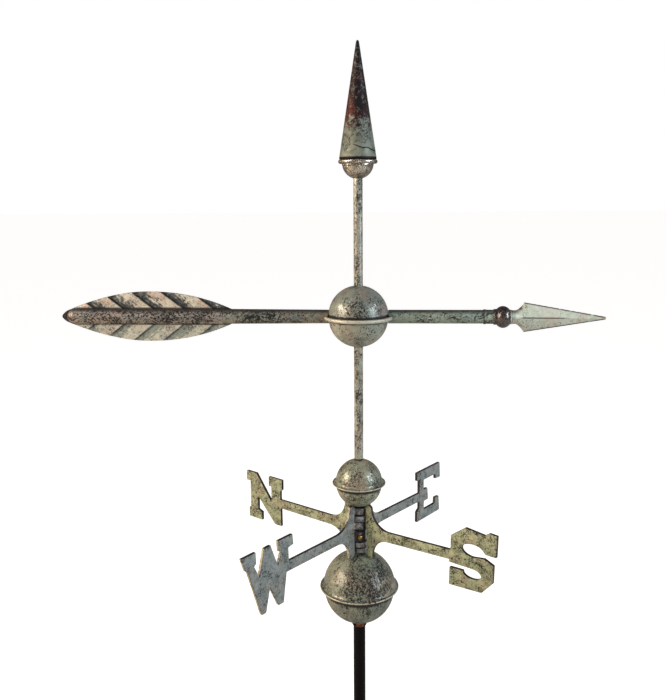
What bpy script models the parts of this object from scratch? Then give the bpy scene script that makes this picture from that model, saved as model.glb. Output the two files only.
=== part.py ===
"""Arrow weathervane in aged copper on a steel rod: globes, compass arms, a turning arrow and a cone finial.

The frame is +Z up with the origin at the rod's lower end. The arrow lies along X, its point at +X.
All lengths are in metres.
"""
import math

import bmesh
import bpy
from mathutils import Matrix, Vector

# Main size, from the rod's lower end to the cone's tip; the rod under the collar is what the rest leaves of it
TOTAL_H = 0.9994

# Fits between pieces
GAP = 0.0003                # between two pieces that touch
BEARING_PLAY = 0.0001       # all round the pin, inside the turning tube
SPIN_LIFT = 0.0016          # air under the turning tube, above the small globe

# Mast rod
ROD_D = 0.0164
PIN_D = 0.0095              # the rod's upper stretch, which the vane turns on
PIN_POINT = 0.0030          # height of the pin's conical tip
PIN_FLAT = 0.25             # the small flat on that tip, as a share of the pin

# Stop collar
COLLAR_D = 0.0202
COLLAR_H = 0.0074
COLLAR_EDGE = 0.0012        # chamfer round its lower edge
COLLAR_SCREW_D = 0.0040
COLLAR_SCREW_TURNS = (-38.0, 54.0)      # degrees from straight ahead, to the left and to the right

# Large globe, in two half shells with a brim on the upper one
LARGE_GLOBE_R = 0.0493
LARGE_LOWER_R = 0.0480
LARGE_BRIM_R = 0.0539
LARGE_BRIM_H = 0.0021
LARGE_BAND = 0.0004         # straight stretch of the upper half above its joint
LARGE_LOWER_BAND = 0.0004   # straight stretch of the lower half under the joint

# Small globe, made the same way
SMALL_GLOBE_R = 0.0314
SMALL_LOWER_R = 0.0308
SMALL_BRIM_R = 0.0360
SMALL_BRIM_H = 0.0018
SMALL_BAND = 0.0018
SMALL_LOWER_BAND = 0.0006   # straight stretch of the lower half under the joint
SWEEP_START = 9.0           # degrees above the joint's level where a dome starts to sweep out into its brim
SWEEP_TURNS = (35.0, 65.0)  # degrees round that sweep at which it has points
BRIM_UNDERCUT = 0.62        # share of the brim's reach that is flat on its underside

# Hub, two cast barrels on the pin, one above the other, standing on a washer
WASHER_D = 0.0150
WASHER_H = 0.0011
HUB_NS_H = 0.0318           # upper barrel, carries the north and south arms
HUB_EW_H = 0.0317           # lower barrel, carries the east and west arms
BARREL_R = 0.0098
COLLAR_RING_R = 0.0110      # the wide ring on each barrel
NECK_R = 0.0090

# Compass arms, flat castings
PLATE_T = 0.0042
NORTH_TURN = -35.5          # degrees about Z from the arrow's line to the north to south casting
ROOT_IN = 0.0135            # root plate's inner edge, from the axis
ROOT_W = 0.0095             # root plate's width at its ends
ROOT_H = 0.0738             # root plate's height
ROOT_END = 0.0045           # height of its rounded ends
ROOT_FLARE = 0.0265         # length over which the root runs into the arm
WEB_MARGIN = 0.0020         # what the web between barrel and plate stops short of the barrel's ends
ARM_H_ROOT = 0.0136
ARM_H_END = 0.0130
ARM_RISE = {"north": -0.0008, "east": -0.0021, "south": 0.0044, "west": 0.0021}   # climb of each arm to its letter
ARM_Z = 0.0000              # arms' centre line above the root plates' centre
ARMS_LIFT = -0.0002         # root plates' centre above the hub's middle

# Letters: distance from the axis to the nearer side, width, height, and drop below the arm's centre line
LETTER_NEAR = {"north": 0.1401, "east": 0.1421, "south": 0.1422, "west": 0.1364}
LETTER_W = {"north": 0.0722, "east": 0.0650, "south": 0.0661, "west": 0.0893}
LETTER_H = {"north": 0.0709, "east": 0.0766, "south": 0.0811, "west": 0.0816}
LETTER_DROP = {"north": -0.0015, "east": -0.0010, "south": -0.0010, "west": 0.0025}

# Screw boss on the hub, between the west and south arms
BOSS_W = 0.0146
BOSS_H = 0.0144
BOSS_REACH = 0.0118         # from the axis to its face
BOSS_RECESS = 0.0022
BOSS_RIM = 0.0019
BOSS_TOP_MARGIN = 0.0008    # below the lower barrel's top
HUB_SCREW_D = 0.0050
HUB_SCREW_HEAD_D = 0.0070
HUB_SCREW_HEAD_H = 0.0026
HUB_SCREW_DROP = 0.0012     # the screw sits this much below the recess's middle

# Turning tube
TUBE_D = 0.0120
TUBE_BELOW_BALL = 0.1527    # length seen under the middle ball
TUBE_ABOVE_BALL = 0.1372    # length seen over it
TUBE_IN_CUP = 0.0125        # how far it reaches into the finial's cup

# Middle ball, in two half shells with a rolled bead on the lower one
BALL_R = 0.0394
BALL_BAND = 0.0025          # straight stretch of the upper half above the joint
BEAD_RING_R = 0.0431        # from the axis to the bead's middle
BEAD_R = 0.0025
BEAD_Z = -0.0003            # bead's middle from the joint
BEAD_GROOVE = 0.0012        # open groove between the upper half and the bead
BEAD_LIP = 0.0014           # how far the lip's inner side stands above the joint

# Arrow
ARROW_Z = 0.0007            # shaft's centre line above the ball's joint
SHAFT_D = 0.0180
TAIL_SHAFT_D = 0.0199       # where the tail shaft meets the feather
TAIL_SHAFT_REACH = 0.1788   # from the axis to that meeting
POINT_SHAFT_REACH = 0.1634  # from the axis to the point's socket
SHAFT_START = 0.0340        # inside the ball, before the end is coped to it

# Feather
FEATHER_REACH = 0.3982      # from the axis to its tip
FEATHER_WIDEST = 0.2824     # from the axis to the widest place
FEATHER_HALF_H = 0.0331
FEATHER_TIP_RUN = 0.1250    # run of the outline's formula from the widest place to the tip
FEATHER_TIP_POWER = 1.8
FEATHER_NOSE = 0.0080       # length over which its blunt tip closes
FEATHER_ROOT_RUN = 0.1335
FEATHER_ROOT_POWER = 2.2
FEATHER_ROOT = 0.1657       # from the axis to where the vane's web dies into the shaft
FEATHER_EDGE_T = 0.0022     # full thickness at the rim
BARB_COUNT = 6
BARB_PITCH = 0.0404
BARB_FIRST = 0.0470         # first step from the feather's tip, along the quill
BARB_SLANT = 1.27           # run along the quill for each unit out from it
BARB_RISE = 0.0026          # height of each step, on each face
BARB_STEP = 0.0010          # run of the steep side of a step
RIM_SHARE = 0.45            # what is left of a barb's height at the rim
QUILL_R_ROOT = 0.0101
QUILL_R_TIP = 0.0105
QUILL_NOSE = 0.0120         # length of the rounded end
QUILL_MARGIN = 0.0070       # rim of the feather left beyond that end

# Point: socket with a bead, and a ridged lance head
SOCKET_RING_H = 0.0027
SOCKET_SLEEVE_H = 0.0105
SOCKET_COLLAR_H = 0.0030
SOCKET_BEAD_W = 0.0177
SOCKET_NECK_H = 0.0049
SOCKET_RING_D = 0.0197
SOCKET_SLEEVE_D = 0.0186
SOCKET_COLLAR_D = 0.0208
SOCKET_BEAD_D = 0.0288
SOCKET_NECK_D = 0.0190
HEAD_NECK_D = 0.0180
HEAD_NECK_H = 0.0018
HEAD_FLARE = 0.0115         # length of the concave flare up to the barbs
HEAD_H = 0.0391             # across the barbs
HEAD_T = 0.0130             # thickness over the ridge at the barbs
HEAD_BLADE = 0.1044         # from the barbs to the tip
HEAD_TIP_H = 0.0036
HEAD_SPREAD = 1.6           # power of the flare's curve
POINT_DROOP = 0.62          # degrees that the point hangs down from the end of its shaft

# Finial: cup with a rolled rim, and a cone
CUP_R = 0.0204
CUP_RIM_R = 0.0028
CUP_RIM_RING_R = 0.0226
CONE_H = 0.1485
CONE_BASE_R = 0.0241
CONE_TIP_R = 0.0020
CONE_SKIRT = 0.0012         # straight stretch round the cone's base
SOCKET_DEEP = 0.0006        # bottom clearance of a socket

# Fineness of the round pieces
SIDES_LARGE = 24
SIDES_SMALL = 18
SIDES_SCREW = 12
SIDES_CUTTER = 40
GLOBE_STEPS = 6             # rings of faces on each half globe

COLOURS = {
    "patina": ((0.36, 0.38, 0.29), 0.62, 0.35),
    "patina_grey": ((0.30, 0.32, 0.29), 0.60, 0.35),
    "dark_patina": ((0.16, 0.15, 0.13), 0.60, 0.45),
    "copper": ((0.45, 0.20, 0.11), 0.40, 0.90),
    "brass": ((0.62, 0.42, 0.14), 0.30, 1.00),
    "black_steel": ((0.020, 0.020, 0.022), 0.45, 0.20),
}


def heights():
    """Heights along the mast, stacked from the stop collar up, then moved so that the cone's tip is at TOTAL_H."""
    z = {"collar": 0.0}
    z["collar_top"] = z["collar"] + COLLAR_H
    z["large_foot"] = z["collar_top"] + GAP
    z["large_joint"] = z["large_foot"] + LARGE_LOWER_R + LARGE_LOWER_BAND + GAP
    z["large_top"] = z["large_joint"] + LARGE_BAND + LARGE_GLOBE_R
    z["washer"] = z["large_top"] + GAP
    z["hub_foot"] = z["washer"] + WASHER_H + GAP
    z["hub_joint"] = z["hub_foot"] + HUB_EW_H
    z["hub_top"] = z["hub_joint"] + GAP + HUB_NS_H
    z["small_foot"] = z["hub_top"] + GAP
    z["small_joint"] = z["small_foot"] + SMALL_LOWER_R + SMALL_LOWER_BAND + GAP
    z["small_top"] = z["small_joint"] + SMALL_BAND + SMALL_GLOBE_R
    z["tube_foot"] = z["small_top"] + SPIN_LIFT
    z["ball_foot"] = z["tube_foot"] + TUBE_BELOW_BALL
    z["ball_joint"] = z["ball_foot"] + BALL_R + GAP
    z["ball_top"] = z["ball_joint"] + BALL_BAND + BALL_R
    z["arrow"] = z["ball_joint"] + ARROW_Z
    z["cup_foot"] = z["ball_top"] + TUBE_ABOVE_BALL
    z["cup_rim"] = z["cup_foot"] + CUP_R + CUP_RIM_R
    z["cone_foot"] = z["cup_rim"] + CUP_RIM_R + GAP
    z["arms"] = (z["hub_foot"] + z["hub_top"]) / 2 + ARMS_LIFT
    z["pin_top"] = z["ball_joint"]
    z["tip"] = z["cone_foot"] + CONE_H
    lift = TOTAL_H - z["tip"]
    return {name: height + lift for name, height in z.items()}


Z = heights()


# Scene and materials
def clear_scene():
    for item in list(bpy.data.objects):
        bpy.data.objects.remove(item, do_unlink=True)


def make_collection(name):
    collection = bpy.data.collections.new(name)
    bpy.context.scene.collection.children.link(collection)
    return collection


def make_material(name):
    colour, roughness, metallic = COLOURS[name]
    material = bpy.data.materials.new(name)
    material.use_nodes = True
    shader = material.node_tree.nodes["Principled BSDF"]
    shader.inputs["Base Color"].default_value = (*colour, 1.0)
    shader.inputs["Roughness"].default_value = roughness
    shader.inputs["Metallic"].default_value = metallic
    material.diffuse_color = (*colour, 1.0)
    return material


clear_scene()
PARTS = make_collection("weathervane")
CUTTERS = make_collection("cutters")
MATERIALS = {name: make_material(name) for name in COLOURS}


# Curves in the profile plane
def arc(centre, radii, start, end, steps):
    """Points on an ellipse's arc, both ends included; angles in degrees from +X towards +Z."""
    points = []
    for i in range(steps + 1):
        angle = math.radians(start + (end - start) * i / steps)
        points.append((centre[0] + radii[0] * math.cos(angle), centre[1] + radii[1] * math.sin(angle)))
    return points


def angle_at_radius(radius, sphere_radius):
    """Latitude in degrees where a sphere has this distance from its axis."""
    return math.degrees(math.acos(radius / sphere_radius))


def moved(points, dz):
    return [(x, z + dz) for x, z in points]


# Objects
def finish(item, material):
    item.data.materials.append(MATERIALS[material])
    PARTS.objects.link(item)
    return item


def as_cutter(item):
    item.hide_render = True
    item.display_type = "WIRE"
    CUTTERS.objects.link(item)
    return item


def turned(name, profile, sides, closed=False, along_x=False, mirror_x=False, centre=(0, 0, 0)):
    """A turned piece; the profile runs down its outer side. Along X, its heights are distances from X = 0."""
    mesh = bpy.data.meshes.new(name)
    edges = [(i, i + 1) for i in range(len(profile) - 1)]
    if closed:
        edges.append((len(profile) - 1, 0))
    mesh.from_pydata([(x, 0.0, z) for x, z in profile], edges, [])
    item = bpy.data.objects.new(name, mesh)
    screw = item.modifiers.new("Turn", "SCREW")
    screw.axis = "Z"
    screw.angle = math.tau
    screw.steps = sides
    screw.render_steps = sides
    screw.use_merge_vertices = True
    screw.merge_threshold = 0.00001
    screw.use_smooth_shade = True
    if along_x:
        item.rotation_euler = (0, math.radians(-90 if mirror_x else 90), 0)
    item.location = centre
    return item


def baked(item):
    """The same object with its curve turned into a plain welded mesh, its flat sides whole."""
    holder = bpy.context.scene.collection
    holder.objects.link(item)
    bpy.context.view_layer.update()
    evaluated = item.evaluated_get(bpy.context.evaluated_depsgraph_get())
    mesh = bpy.data.meshes.new_from_object(evaluated)
    matrix = item.matrix_world.copy()
    name = item.name
    holder.objects.unlink(item)
    bpy.data.objects.remove(item)
    weld = bmesh.new()
    weld.from_mesh(mesh)
    bmesh.ops.remove_doubles(weld, verts=weld.verts, dist=0.00001)
    bmesh.ops.dissolve_limit(weld, angle_limit=math.radians(0.2), verts=weld.verts, edges=weld.edges)
    bmesh.ops.recalc_face_normals(weld, faces=weld.faces)
    weld.to_mesh(mesh)
    weld.free()
    plain = bpy.data.objects.new(name, mesh)
    plain.matrix_world = matrix
    return plain


def flat_plate(name, outline, thickness):
    """A plate cut to an outline in the XZ plane, with its middle at Y = 0."""
    curve = bpy.data.curves.new(name, "CURVE")
    curve.dimensions = "2D"
    curve.fill_mode = "BOTH"
    curve.extrude = thickness / 2
    spline = curve.splines.new("POLY")
    spline.points.add(len(outline) - 1)
    for point, (x, z) in zip(spline.points, outline):
        point.co = (x, z, 0.0, 1.0)
    spline.use_cyclic_u = True
    item = bpy.data.objects.new(name, curve)
    item.rotation_euler = (math.radians(90), 0, 0)
    return baked(item)


def box(name, size, centre):
    mesh = bpy.data.meshes.new(name)
    block = bmesh.new()
    bmesh.ops.create_cube(block, size=1.0)
    bmesh.ops.scale(block, vec=Vector(size), verts=block.verts)
    bmesh.ops.translate(block, vec=Vector(centre), verts=block.verts)
    block.to_mesh(mesh)
    block.free()
    return bpy.data.objects.new(name, mesh)


def ring(name, inner, outer, foot, top, material):
    profile = [(inner, top), (outer, top), (outer, foot), (inner, foot)]
    finish(turned(name, profile, SIDES_LARGE, closed=True), material)


def boolean(item, other, operation):
    step = item.modifiers.new(operation.title(), "BOOLEAN")
    step.operation = operation
    step.solver = "EXACT"
    step.object = other


def turn_about_mast(item, degrees):
    bpy.context.view_layer.update()
    item.matrix_world = Matrix.Rotation(math.radians(degrees), 4, "Z") @ item.matrix_basis


# Mast rod and stop collar
def mast_rod():
    shoulder = Z["large_joint"] - GAP
    pin_r = PIN_D / 2
    profile = [(0.0, Z["pin_top"]), (pin_r * PIN_FLAT, Z["pin_top"])]
    profile += [(pin_r, Z["pin_top"] - PIN_POINT), (pin_r, shoulder)]
    profile += [(ROD_D / 2, shoulder), (ROD_D / 2, 0.0), (0.0, 0.0)]
    finish(turned("mast_rod", profile, SIDES_SMALL), "black_steel")


def stop_collar():
    bore = ROD_D / 2 + GAP
    outer = COLLAR_D / 2
    foot, top = Z["collar"], Z["collar_top"]
    profile = [(bore, top), (outer - COLLAR_EDGE / 2, top), (outer, top - COLLAR_EDGE / 2)]
    profile += [(outer, foot + COLLAR_EDGE), (outer - COLLAR_EDGE, foot), (bore, foot)]
    collar = finish(turned("stop_collar", profile, SIDES_LARGE, closed=True), "copper")
    middle = (foot + top) / 2
    for number, turn in enumerate(COLLAR_SCREW_TURNS, start=1):
        hole = turned(f"collar_hole_{number}", rod_profile(COLLAR_SCREW_D / 2 + GAP, 0.0, outer * 2), SIDES_SCREW,
                      along_x=True)
        hole.location = (0, 0, middle)
        turn_about_mast(as_cutter(hole), turn - 90)
        boolean(collar, hole, "DIFFERENCE")
        screw = grub_screw(f"collar_screw_{number}", ROD_D / 2 + GAP, outer - GAP)
        screw.location = (0, 0, middle)
        turn_about_mast(finish(screw, "black_steel"), turn - 90)


def rod_profile(radius, start, end):
    return [(0.0, end), (radius, end), (radius, start), (0.0, start)]


def grub_screw(name, start, end):
    """A headless screw with a socket in its outer end."""
    radius = COLLAR_SCREW_D / 2
    socket = radius * 0.55
    depth = (end - start) * 0.5
    profile = [(0.0, end - depth), (socket, end - depth), (socket, end)]
    profile += [(radius, end), (radius, start), (0.0, start)]
    return turned(name, profile, SIDES_SCREW, along_x=True)


# Globes: a lower bowl, and an upper half that ends in a brim over it
def globe_lower(name, radius, band, joint, bore, material):
    top = joint - GAP
    low = angle_at_radius(bore, radius)
    profile = [(bore, top), (radius, top)]
    profile += arc((0.0, top - band), (radius, radius), 0.0, -low, GLOBE_STEPS)
    finish(turned(name, profile, SIDES_LARGE, closed=True), material)


def globe_upper(name, radius, brim_radius, brim_h, band, joint, bore, material):
    """The dome runs through a small sweep into the brim's rounded edge."""
    centre = joint + band
    sweep = (brim_radius - radius) * BRIM_UNDERCUT
    high = angle_at_radius(bore, radius)
    start = math.radians(SWEEP_START)
    neck = (radius * math.cos(start), centre + radius * math.sin(start))
    profile = arc((0.0, centre), (radius, radius), high, SWEEP_START, GLOBE_STEPS)
    foot = (brim_radius - brim_h / 2, joint + brim_h)
    span = (foot[0] - neck[0], neck[1] - foot[1])
    profile += [(foot[0] - span[0] * math.cos(math.radians(t)), neck[1] - span[1] * math.sin(math.radians(t)))
                for t in SWEEP_TURNS]
    profile += arc((brim_radius - brim_h / 2, joint + brim_h / 2), (brim_h / 2, brim_h / 2), 90, -90, 2)
    profile += [(radius - sweep, joint), (bore, joint)]
    finish(turned(name, profile, SIDES_LARGE, closed=True), material)


def globes():
    rod_bore = ROD_D / 2 + GAP
    pin_bore = PIN_D / 2 + GAP
    globe_lower("large_globe_lower", LARGE_LOWER_R, LARGE_LOWER_BAND, Z["large_joint"], rod_bore, "patina")
    globe_upper("large_globe_upper", LARGE_GLOBE_R, LARGE_BRIM_R, LARGE_BRIM_H, LARGE_BAND,
                Z["large_joint"], pin_bore, "patina")
    globe_lower("small_globe_lower", SMALL_LOWER_R, SMALL_LOWER_BAND, Z["small_joint"], pin_bore, "patina")
    globe_upper("small_globe_upper", SMALL_GLOBE_R, SMALL_BRIM_R, SMALL_BRIM_H, SMALL_BAND,
                Z["small_joint"], pin_bore, "patina")


# Letters: outlines as shares of each letter's width, outwards from the mast, and of its height.
# Each runs from the arm's upper side round the letter to the arm's lower side.
def letter_north():
    return [(0.049, 0.254), (0.0, 0.291), (0.0, 0.5), (0.368, 0.5), (0.368, 0.299), (0.298, 0.295),
            (0.298, -0.04), (0.719, 0.5), (1.0, 0.5), (1.0, 0.295), (0.893, 0.295), (0.893, -0.295),
            (0.936, -0.295), (0.936, -0.5), (0.569, -0.5), (0.569, -0.325), (0.678, -0.290),
            (0.678, -0.02), (0.655, -0.02), (0.211, -0.5), (0.034, -0.5)]


def letter_east():
    return [(0.101, 0.340), (0.0, 0.340), (0.0, 0.5), (0.977, 0.5), (1.0, 0.192), (0.796, 0.199),
            (0.796, 0.297), (0.282, 0.297), (0.282, 0.098), (0.441, 0.098), (0.471, -0.136),
            (0.290, -0.143), (0.290, -0.313), (0.773, -0.313), (0.789, -0.192), (0.944, -0.199),
            (0.977, -0.5), (0.0, -0.5), (0.0, -0.296), (0.101, -0.240)]


def letter_west():
    return [(0.103, 0.319), (0.0, 0.338), (0.016, 0.5), (0.306, 0.5), (0.290, 0.332), (0.236, 0.332),
            (0.316, 0.125), (0.455, 0.494), (0.577, 0.487), (0.672, 0.096), (0.768, 0.293),
            (0.730, 0.328), (0.736, 0.497), (1.0, 0.497), (0.925, 0.284), (0.894, 0.284),
            (0.639, -0.5), (0.559, -0.5), (0.475, -0.142), (0.310, -0.5), (0.211, -0.5)]


def letter_south():
    upper_slit = arc((0.505, 0.153), (0.235, 0.100), 15, 270, 8)
    lower_slit = arc((0.490, -0.216), (0.190, 0.078), 180, 450, 8)
    return ([(0.035, 0.305), (0.341, 0.485), (0.741, 0.448), (0.835, 0.5), (1.0, 0.491), (0.984, 0.152),
             (0.772, 0.152)] + upper_slit + [(0.741, 0.081), (0.934, 0.013), (0.920, -0.266),
             (0.694, -0.470), (0.0, -0.5), (0.011, -0.212), (0.297, -0.204)] + lower_slit
            + [(0.011, -0.136), (0.0, -0.102)])


LETTERS = {"north": letter_north, "east": letter_east, "south": letter_south, "west": letter_west}
# Where each arm's upper and lower edges meet its letter, as shares of the letter's width
JOIN = {"north": (0.049, 0.042), "east": (0.101, 0.101), "south": (0.028, 0.014), "west": (0.095, 0.145)}


def arm_outline(letter, web_foot, web_top, depth_in):
    """One arm with its root plate and letter, in distance from the mast and height above the root's centre."""
    root_in = ROOT_IN
    root_out = ROOT_IN + ROOT_W
    end_z = ROOT_H / 2 - ROOT_END
    cap = ((root_in + root_out) / 2, end_z)
    cap_radii = ((root_out - root_in) / 2, ROOT_END)
    near, width, height = LETTER_NEAR[letter], LETTER_W[letter], LETTER_H[letter]
    arm_end_z = ARM_Z + ARM_RISE[letter]
    letter_z = arm_end_z - LETTER_DROP[letter]
    join_top, join_foot = (near + share * width for share in JOIN[letter])
    flare_x = root_out + ROOT_FLARE
    top_edge = ARM_Z + ARM_H_ROOT / 2
    low_edge = ARM_Z - ARM_H_ROOT / 2
    tilt = ARM_RISE[letter] / LETTER_NEAR[letter]
    upper_root = arc(cap, cap_radii, 180, 0, 4)
    upper_root += arc((flare_x, end_z), (ROOT_FLARE, end_z - top_edge), 180, 270, 6)[1:]
    lower_root = arc((flare_x, -end_z), (ROOT_FLARE, end_z + low_edge), 90, 180, 6)
    lower_root += arc((cap[0], -end_z), cap_radii, 0, -180, 4)[1:]
    points = [(depth_in, web_top), (root_in, web_top)]
    points += leaning(upper_root, tilt)
    points.append((join_top, arm_end_z + ARM_H_END / 2))
    points += [(near + x * width, letter_z + z * height) for x, z in LETTERS[letter]()]
    points.append((join_foot, arm_end_z - ARM_H_END / 2))
    points += leaning(lower_root, tilt)
    points += [(root_in, web_foot), (depth_in, web_foot)]
    return points


def leaning(points, tilt):
    """A root plate leans as its arm climbs."""
    return [(x - z * tilt, z) for x, z in points]


def globe_cutter(name, radius, centre_z):
    """A ball a little larger than a globe, which copes the root plates to it."""
    clear = radius + 2 * GAP
    profile = arc((0.0, 0.0), (clear, clear), 90, -90, 24)
    profile[0] = (0.0, clear)
    profile[-1] = (0.0, -clear)
    return as_cutter(turned(name, moved(profile, centre_z), SIDES_CUTTER))


def arm_casting(name, outward, inward, turn, rings, foot, top, globes_near, material):
    """Two arms and their barrel in one piece; the arm named outward points along the casting's own +X."""
    casting = turned(name, barrel(foot, top, rings), SIDES_LARGE, closed=True)
    turn_about_mast(finish(casting, material), turn)
    web_foot = foot + WEB_MARGIN - Z["arms"]
    web_top = top - WEB_MARGIN - Z["arms"]
    start = (PIN_D / 2 + GAP + NECK_R) / 2
    for letter, side in ((outward, 1), (inward, -1)):
        outline = arm_outline(letter, web_foot, web_top, start)
        if side < 0:
            outline = [(-x, z) for x, z in reversed(outline)]
        plate = flat_plate(f"{name}_{letter}", outline, PLATE_T)
        plate.location.z = Z["arms"]
        turn_about_mast(as_cutter(plate), turn)
        for globe in globes_near:
            boolean(plate, globe, "DIFFERENCE")
        boolean(casting, plate, "UNION")
    return casting


def barrel(foot, top, rings):
    """A bored barrel; rings are (share of height from the foot, radius up to there), from the top down."""
    bore = PIN_D / 2 + GAP
    profile = [(bore, top)]
    upper = top
    for share, radius in rings:
        lower = foot + (top - foot) * share
        profile += [(radius, upper), (radius, lower)]
        upper = lower
    return profile + [(bore, foot)]


def hub_and_arms():
    ring("hub_washer", PIN_D / 2 + GAP, WASHER_D / 2, Z["washer"], Z["hub_foot"] - GAP, "black_steel")
    near = (globe_cutter("large_globe_clearance", LARGE_GLOBE_R, Z["large_joint"] + LARGE_BAND),
            globe_cutter("small_globe_clearance", SMALL_LOWER_R, Z["small_foot"] + SMALL_LOWER_R))
    upper_rings = ((0.68, BARREL_R), (0.65, NECK_R), (0.36, COLLAR_RING_R), (0.0, NECK_R))
    arm_casting("north_south_arms", "south", "north", NORTH_TURN, upper_rings,
                Z["hub_joint"] + GAP, Z["hub_top"], near, "patina")
    lower_rings = ((0.52, BARREL_R), (0.49, NECK_R), (0.24, COLLAR_RING_R), (0.21, NECK_R), (0.0, BARREL_R))
    east_west = arm_casting("east_west_arms", "east", "west", NORTH_TURN + 90, lower_rings,
                            Z["hub_foot"], Z["hub_joint"], near, "patina_grey")
    screw_boss(east_west)


def screw_boss(casting):
    """A square boss with a sunk face, drilled for the brass screw, half way between the west and south arms."""
    turn = NORTH_TURN - 45
    middle = Z["hub_joint"] - BOSS_TOP_MARGIN - BOSS_H / 2
    inner = PIN_D / 2 + GAP + (NECK_R - PIN_D / 2) / 2
    boss = box("boss", (BOSS_REACH - inner, BOSS_W, BOSS_H), ((BOSS_REACH + inner) / 2, 0, middle))
    floor = BOSS_REACH - BOSS_RECESS
    sunk = (BOSS_W - 2 * BOSS_RIM, BOSS_H - 2 * BOSS_RIM)
    recess = box("boss_recess", (BOSS_RECESS * 2, *sunk), (BOSS_REACH, 0, middle))
    screw_z = middle - HUB_SCREW_DROP
    hole = turned("boss_hole", rod_profile(HUB_SCREW_D / 2 + GAP, 0.0, BOSS_REACH), SIDES_SMALL, along_x=True)
    hole.location.z = screw_z
    for cutter, operation in ((boss, "UNION"), (recess, "DIFFERENCE"), (hole, "DIFFERENCE")):
        turn_about_mast(as_cutter(cutter), turn)
        boolean(casting, cutter, operation)
    head = HUB_SCREW_HEAD_D / 2
    dome = arc((0.0, floor + GAP), (head, HUB_SCREW_HEAD_H), 90, 0, 3)
    dome[0] = (0.0, dome[0][1])
    profile = dome + [(HUB_SCREW_D / 2, floor + GAP), (HUB_SCREW_D / 2, PIN_D / 2 + GAP), (0.0, PIN_D / 2 + GAP)]
    screw = turned("hub_screw", profile, SIDES_SMALL, along_x=True)
    screw.location.z = screw_z
    turn_about_mast(finish(screw, "brass"), turn)


# Turning tube and middle ball
def spindle_tube():
    bore = PIN_D / 2 + BEARING_PLAY
    top = Z["cup_foot"] + TUBE_IN_CUP
    seat = Z["pin_top"] + GAP
    profile = [(0.0, top), (TUBE_D / 2, top), (TUBE_D / 2, Z["tube_foot"]), (bore, Z["tube_foot"])]
    profile += [(bore, seat), (0.0, seat)]
    finish(turned("spindle_tube", profile, SIDES_LARGE), "patina")


def ball_halves():
    bore = TUBE_D / 2 + GAP
    joint = Z["ball_joint"]
    high = angle_at_radius(bore, BALL_R)
    upper = arc((0.0, joint + BALL_BAND), (BALL_R, BALL_R), high, 0.0, GLOBE_STEPS) + [(BALL_R, joint), (bore, joint)]
    finish(turned("ball_upper", upper, SIDES_LARGE, closed=True), "patina")
    top = joint - GAP
    lip = BALL_R + BEAD_GROOVE
    bead = (BEAD_RING_R, joint + BEAD_Z)
    rim = arc(bead, (BEAD_R, BEAD_R), 135, -135, 5)
    lower = [(bore, top), (lip, top), (lip, joint + BEAD_LIP)] + rim
    lower += arc((0.0, top), (BALL_R, BALL_R), -6.0, -high, GLOBE_STEPS)
    finish(turned("ball_lower", lower, SIDES_LARGE, closed=True), "patina")


def ball_cutter():
    """The ball and its bead, a little larger, which copes the arrow's shafts to them."""
    clear = BALL_R + 2 * GAP
    bead_clear = BEAD_R + 2 * GAP
    joint = Z["ball_joint"]
    profile = arc((0.0, joint + BALL_BAND), (clear, clear), 90, 4.0, 12)
    profile += arc((BEAD_RING_R, joint + BEAD_Z), (bead_clear, bead_clear), 125, -125, 12)
    profile += arc((0.0, joint - GAP), (clear, clear), -6.0, -90, 12)
    profile[0] = (0.0, profile[0][1])
    profile[-1] = (0.0, profile[-1][1])
    return as_cutter(turned("ball_clearance", profile, SIDES_CUTTER))


# Arrow
def arrow_shafts():
    cutter = ball_cutter()
    tail = [(0.0, TAIL_SHAFT_REACH - GAP), (TAIL_SHAFT_D / 2, TAIL_SHAFT_REACH - GAP)]
    tail += [(SHAFT_D / 2, SHAFT_START), (0.0, SHAFT_START)]
    point = rod_profile(SHAFT_D / 2, SHAFT_START, POINT_SHAFT_REACH - GAP)
    centre = (0, 0, Z["arrow"])
    for name, profile, backwards, material in (("tail_shaft", tail, True, "dark_patina"),
                                               ("point_shaft", point, False, "patina")):
        shaft = finish(turned(name, profile, SIDES_SMALL, along_x=True, mirror_x=backwards, centre=centre), material)
        boolean(shaft, cutter, "DIFFERENCE")


def feather_half_height(reach):
    """Half the feather's height at a distance from the mast."""
    run = reach - FEATHER_WIDEST
    if run > 0:
        share = run / FEATHER_TIP_RUN
        rounded = 1.0 - share ** FEATHER_TIP_POWER
        # the last stretch closes in a blunt round tip
        nose = max(0.0, FEATHER_REACH - reach) / FEATHER_NOSE
        blunt = math.sqrt(max(0.0, 1.0 - (1.0 - min(nose, 1.0)) ** 2))
        return FEATHER_HALF_H * rounded * blunt
    share = -run / FEATHER_ROOT_RUN
    return FEATHER_HALF_H * (1.0 - share ** FEATHER_ROOT_POWER)


def barb_line(reach, steps_in, steps_out):
    """Points from the quill's middle out to the rim along one slanting barb line, as (reach, height)."""
    edge = min(QUILL_R_ROOT, feather_half_height(reach))
    points = [(reach, edge * i / steps_in) for i in range(steps_in + 1)]
    low, high = edge, FEATHER_HALF_H
    for _ in range(40):
        middle = (low + high) / 2
        along = reach + BARB_SLANT * (middle - edge)
        inside = along < FEATHER_REACH and feather_half_height(along) > middle
        low, high = (middle, high) if inside else (low, middle)
    for i in range(1, steps_out + 1):
        height = edge + (low - edge) * i / steps_out
        points.append((reach + BARB_SLANT * (height - edge), height))
    return points


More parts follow.
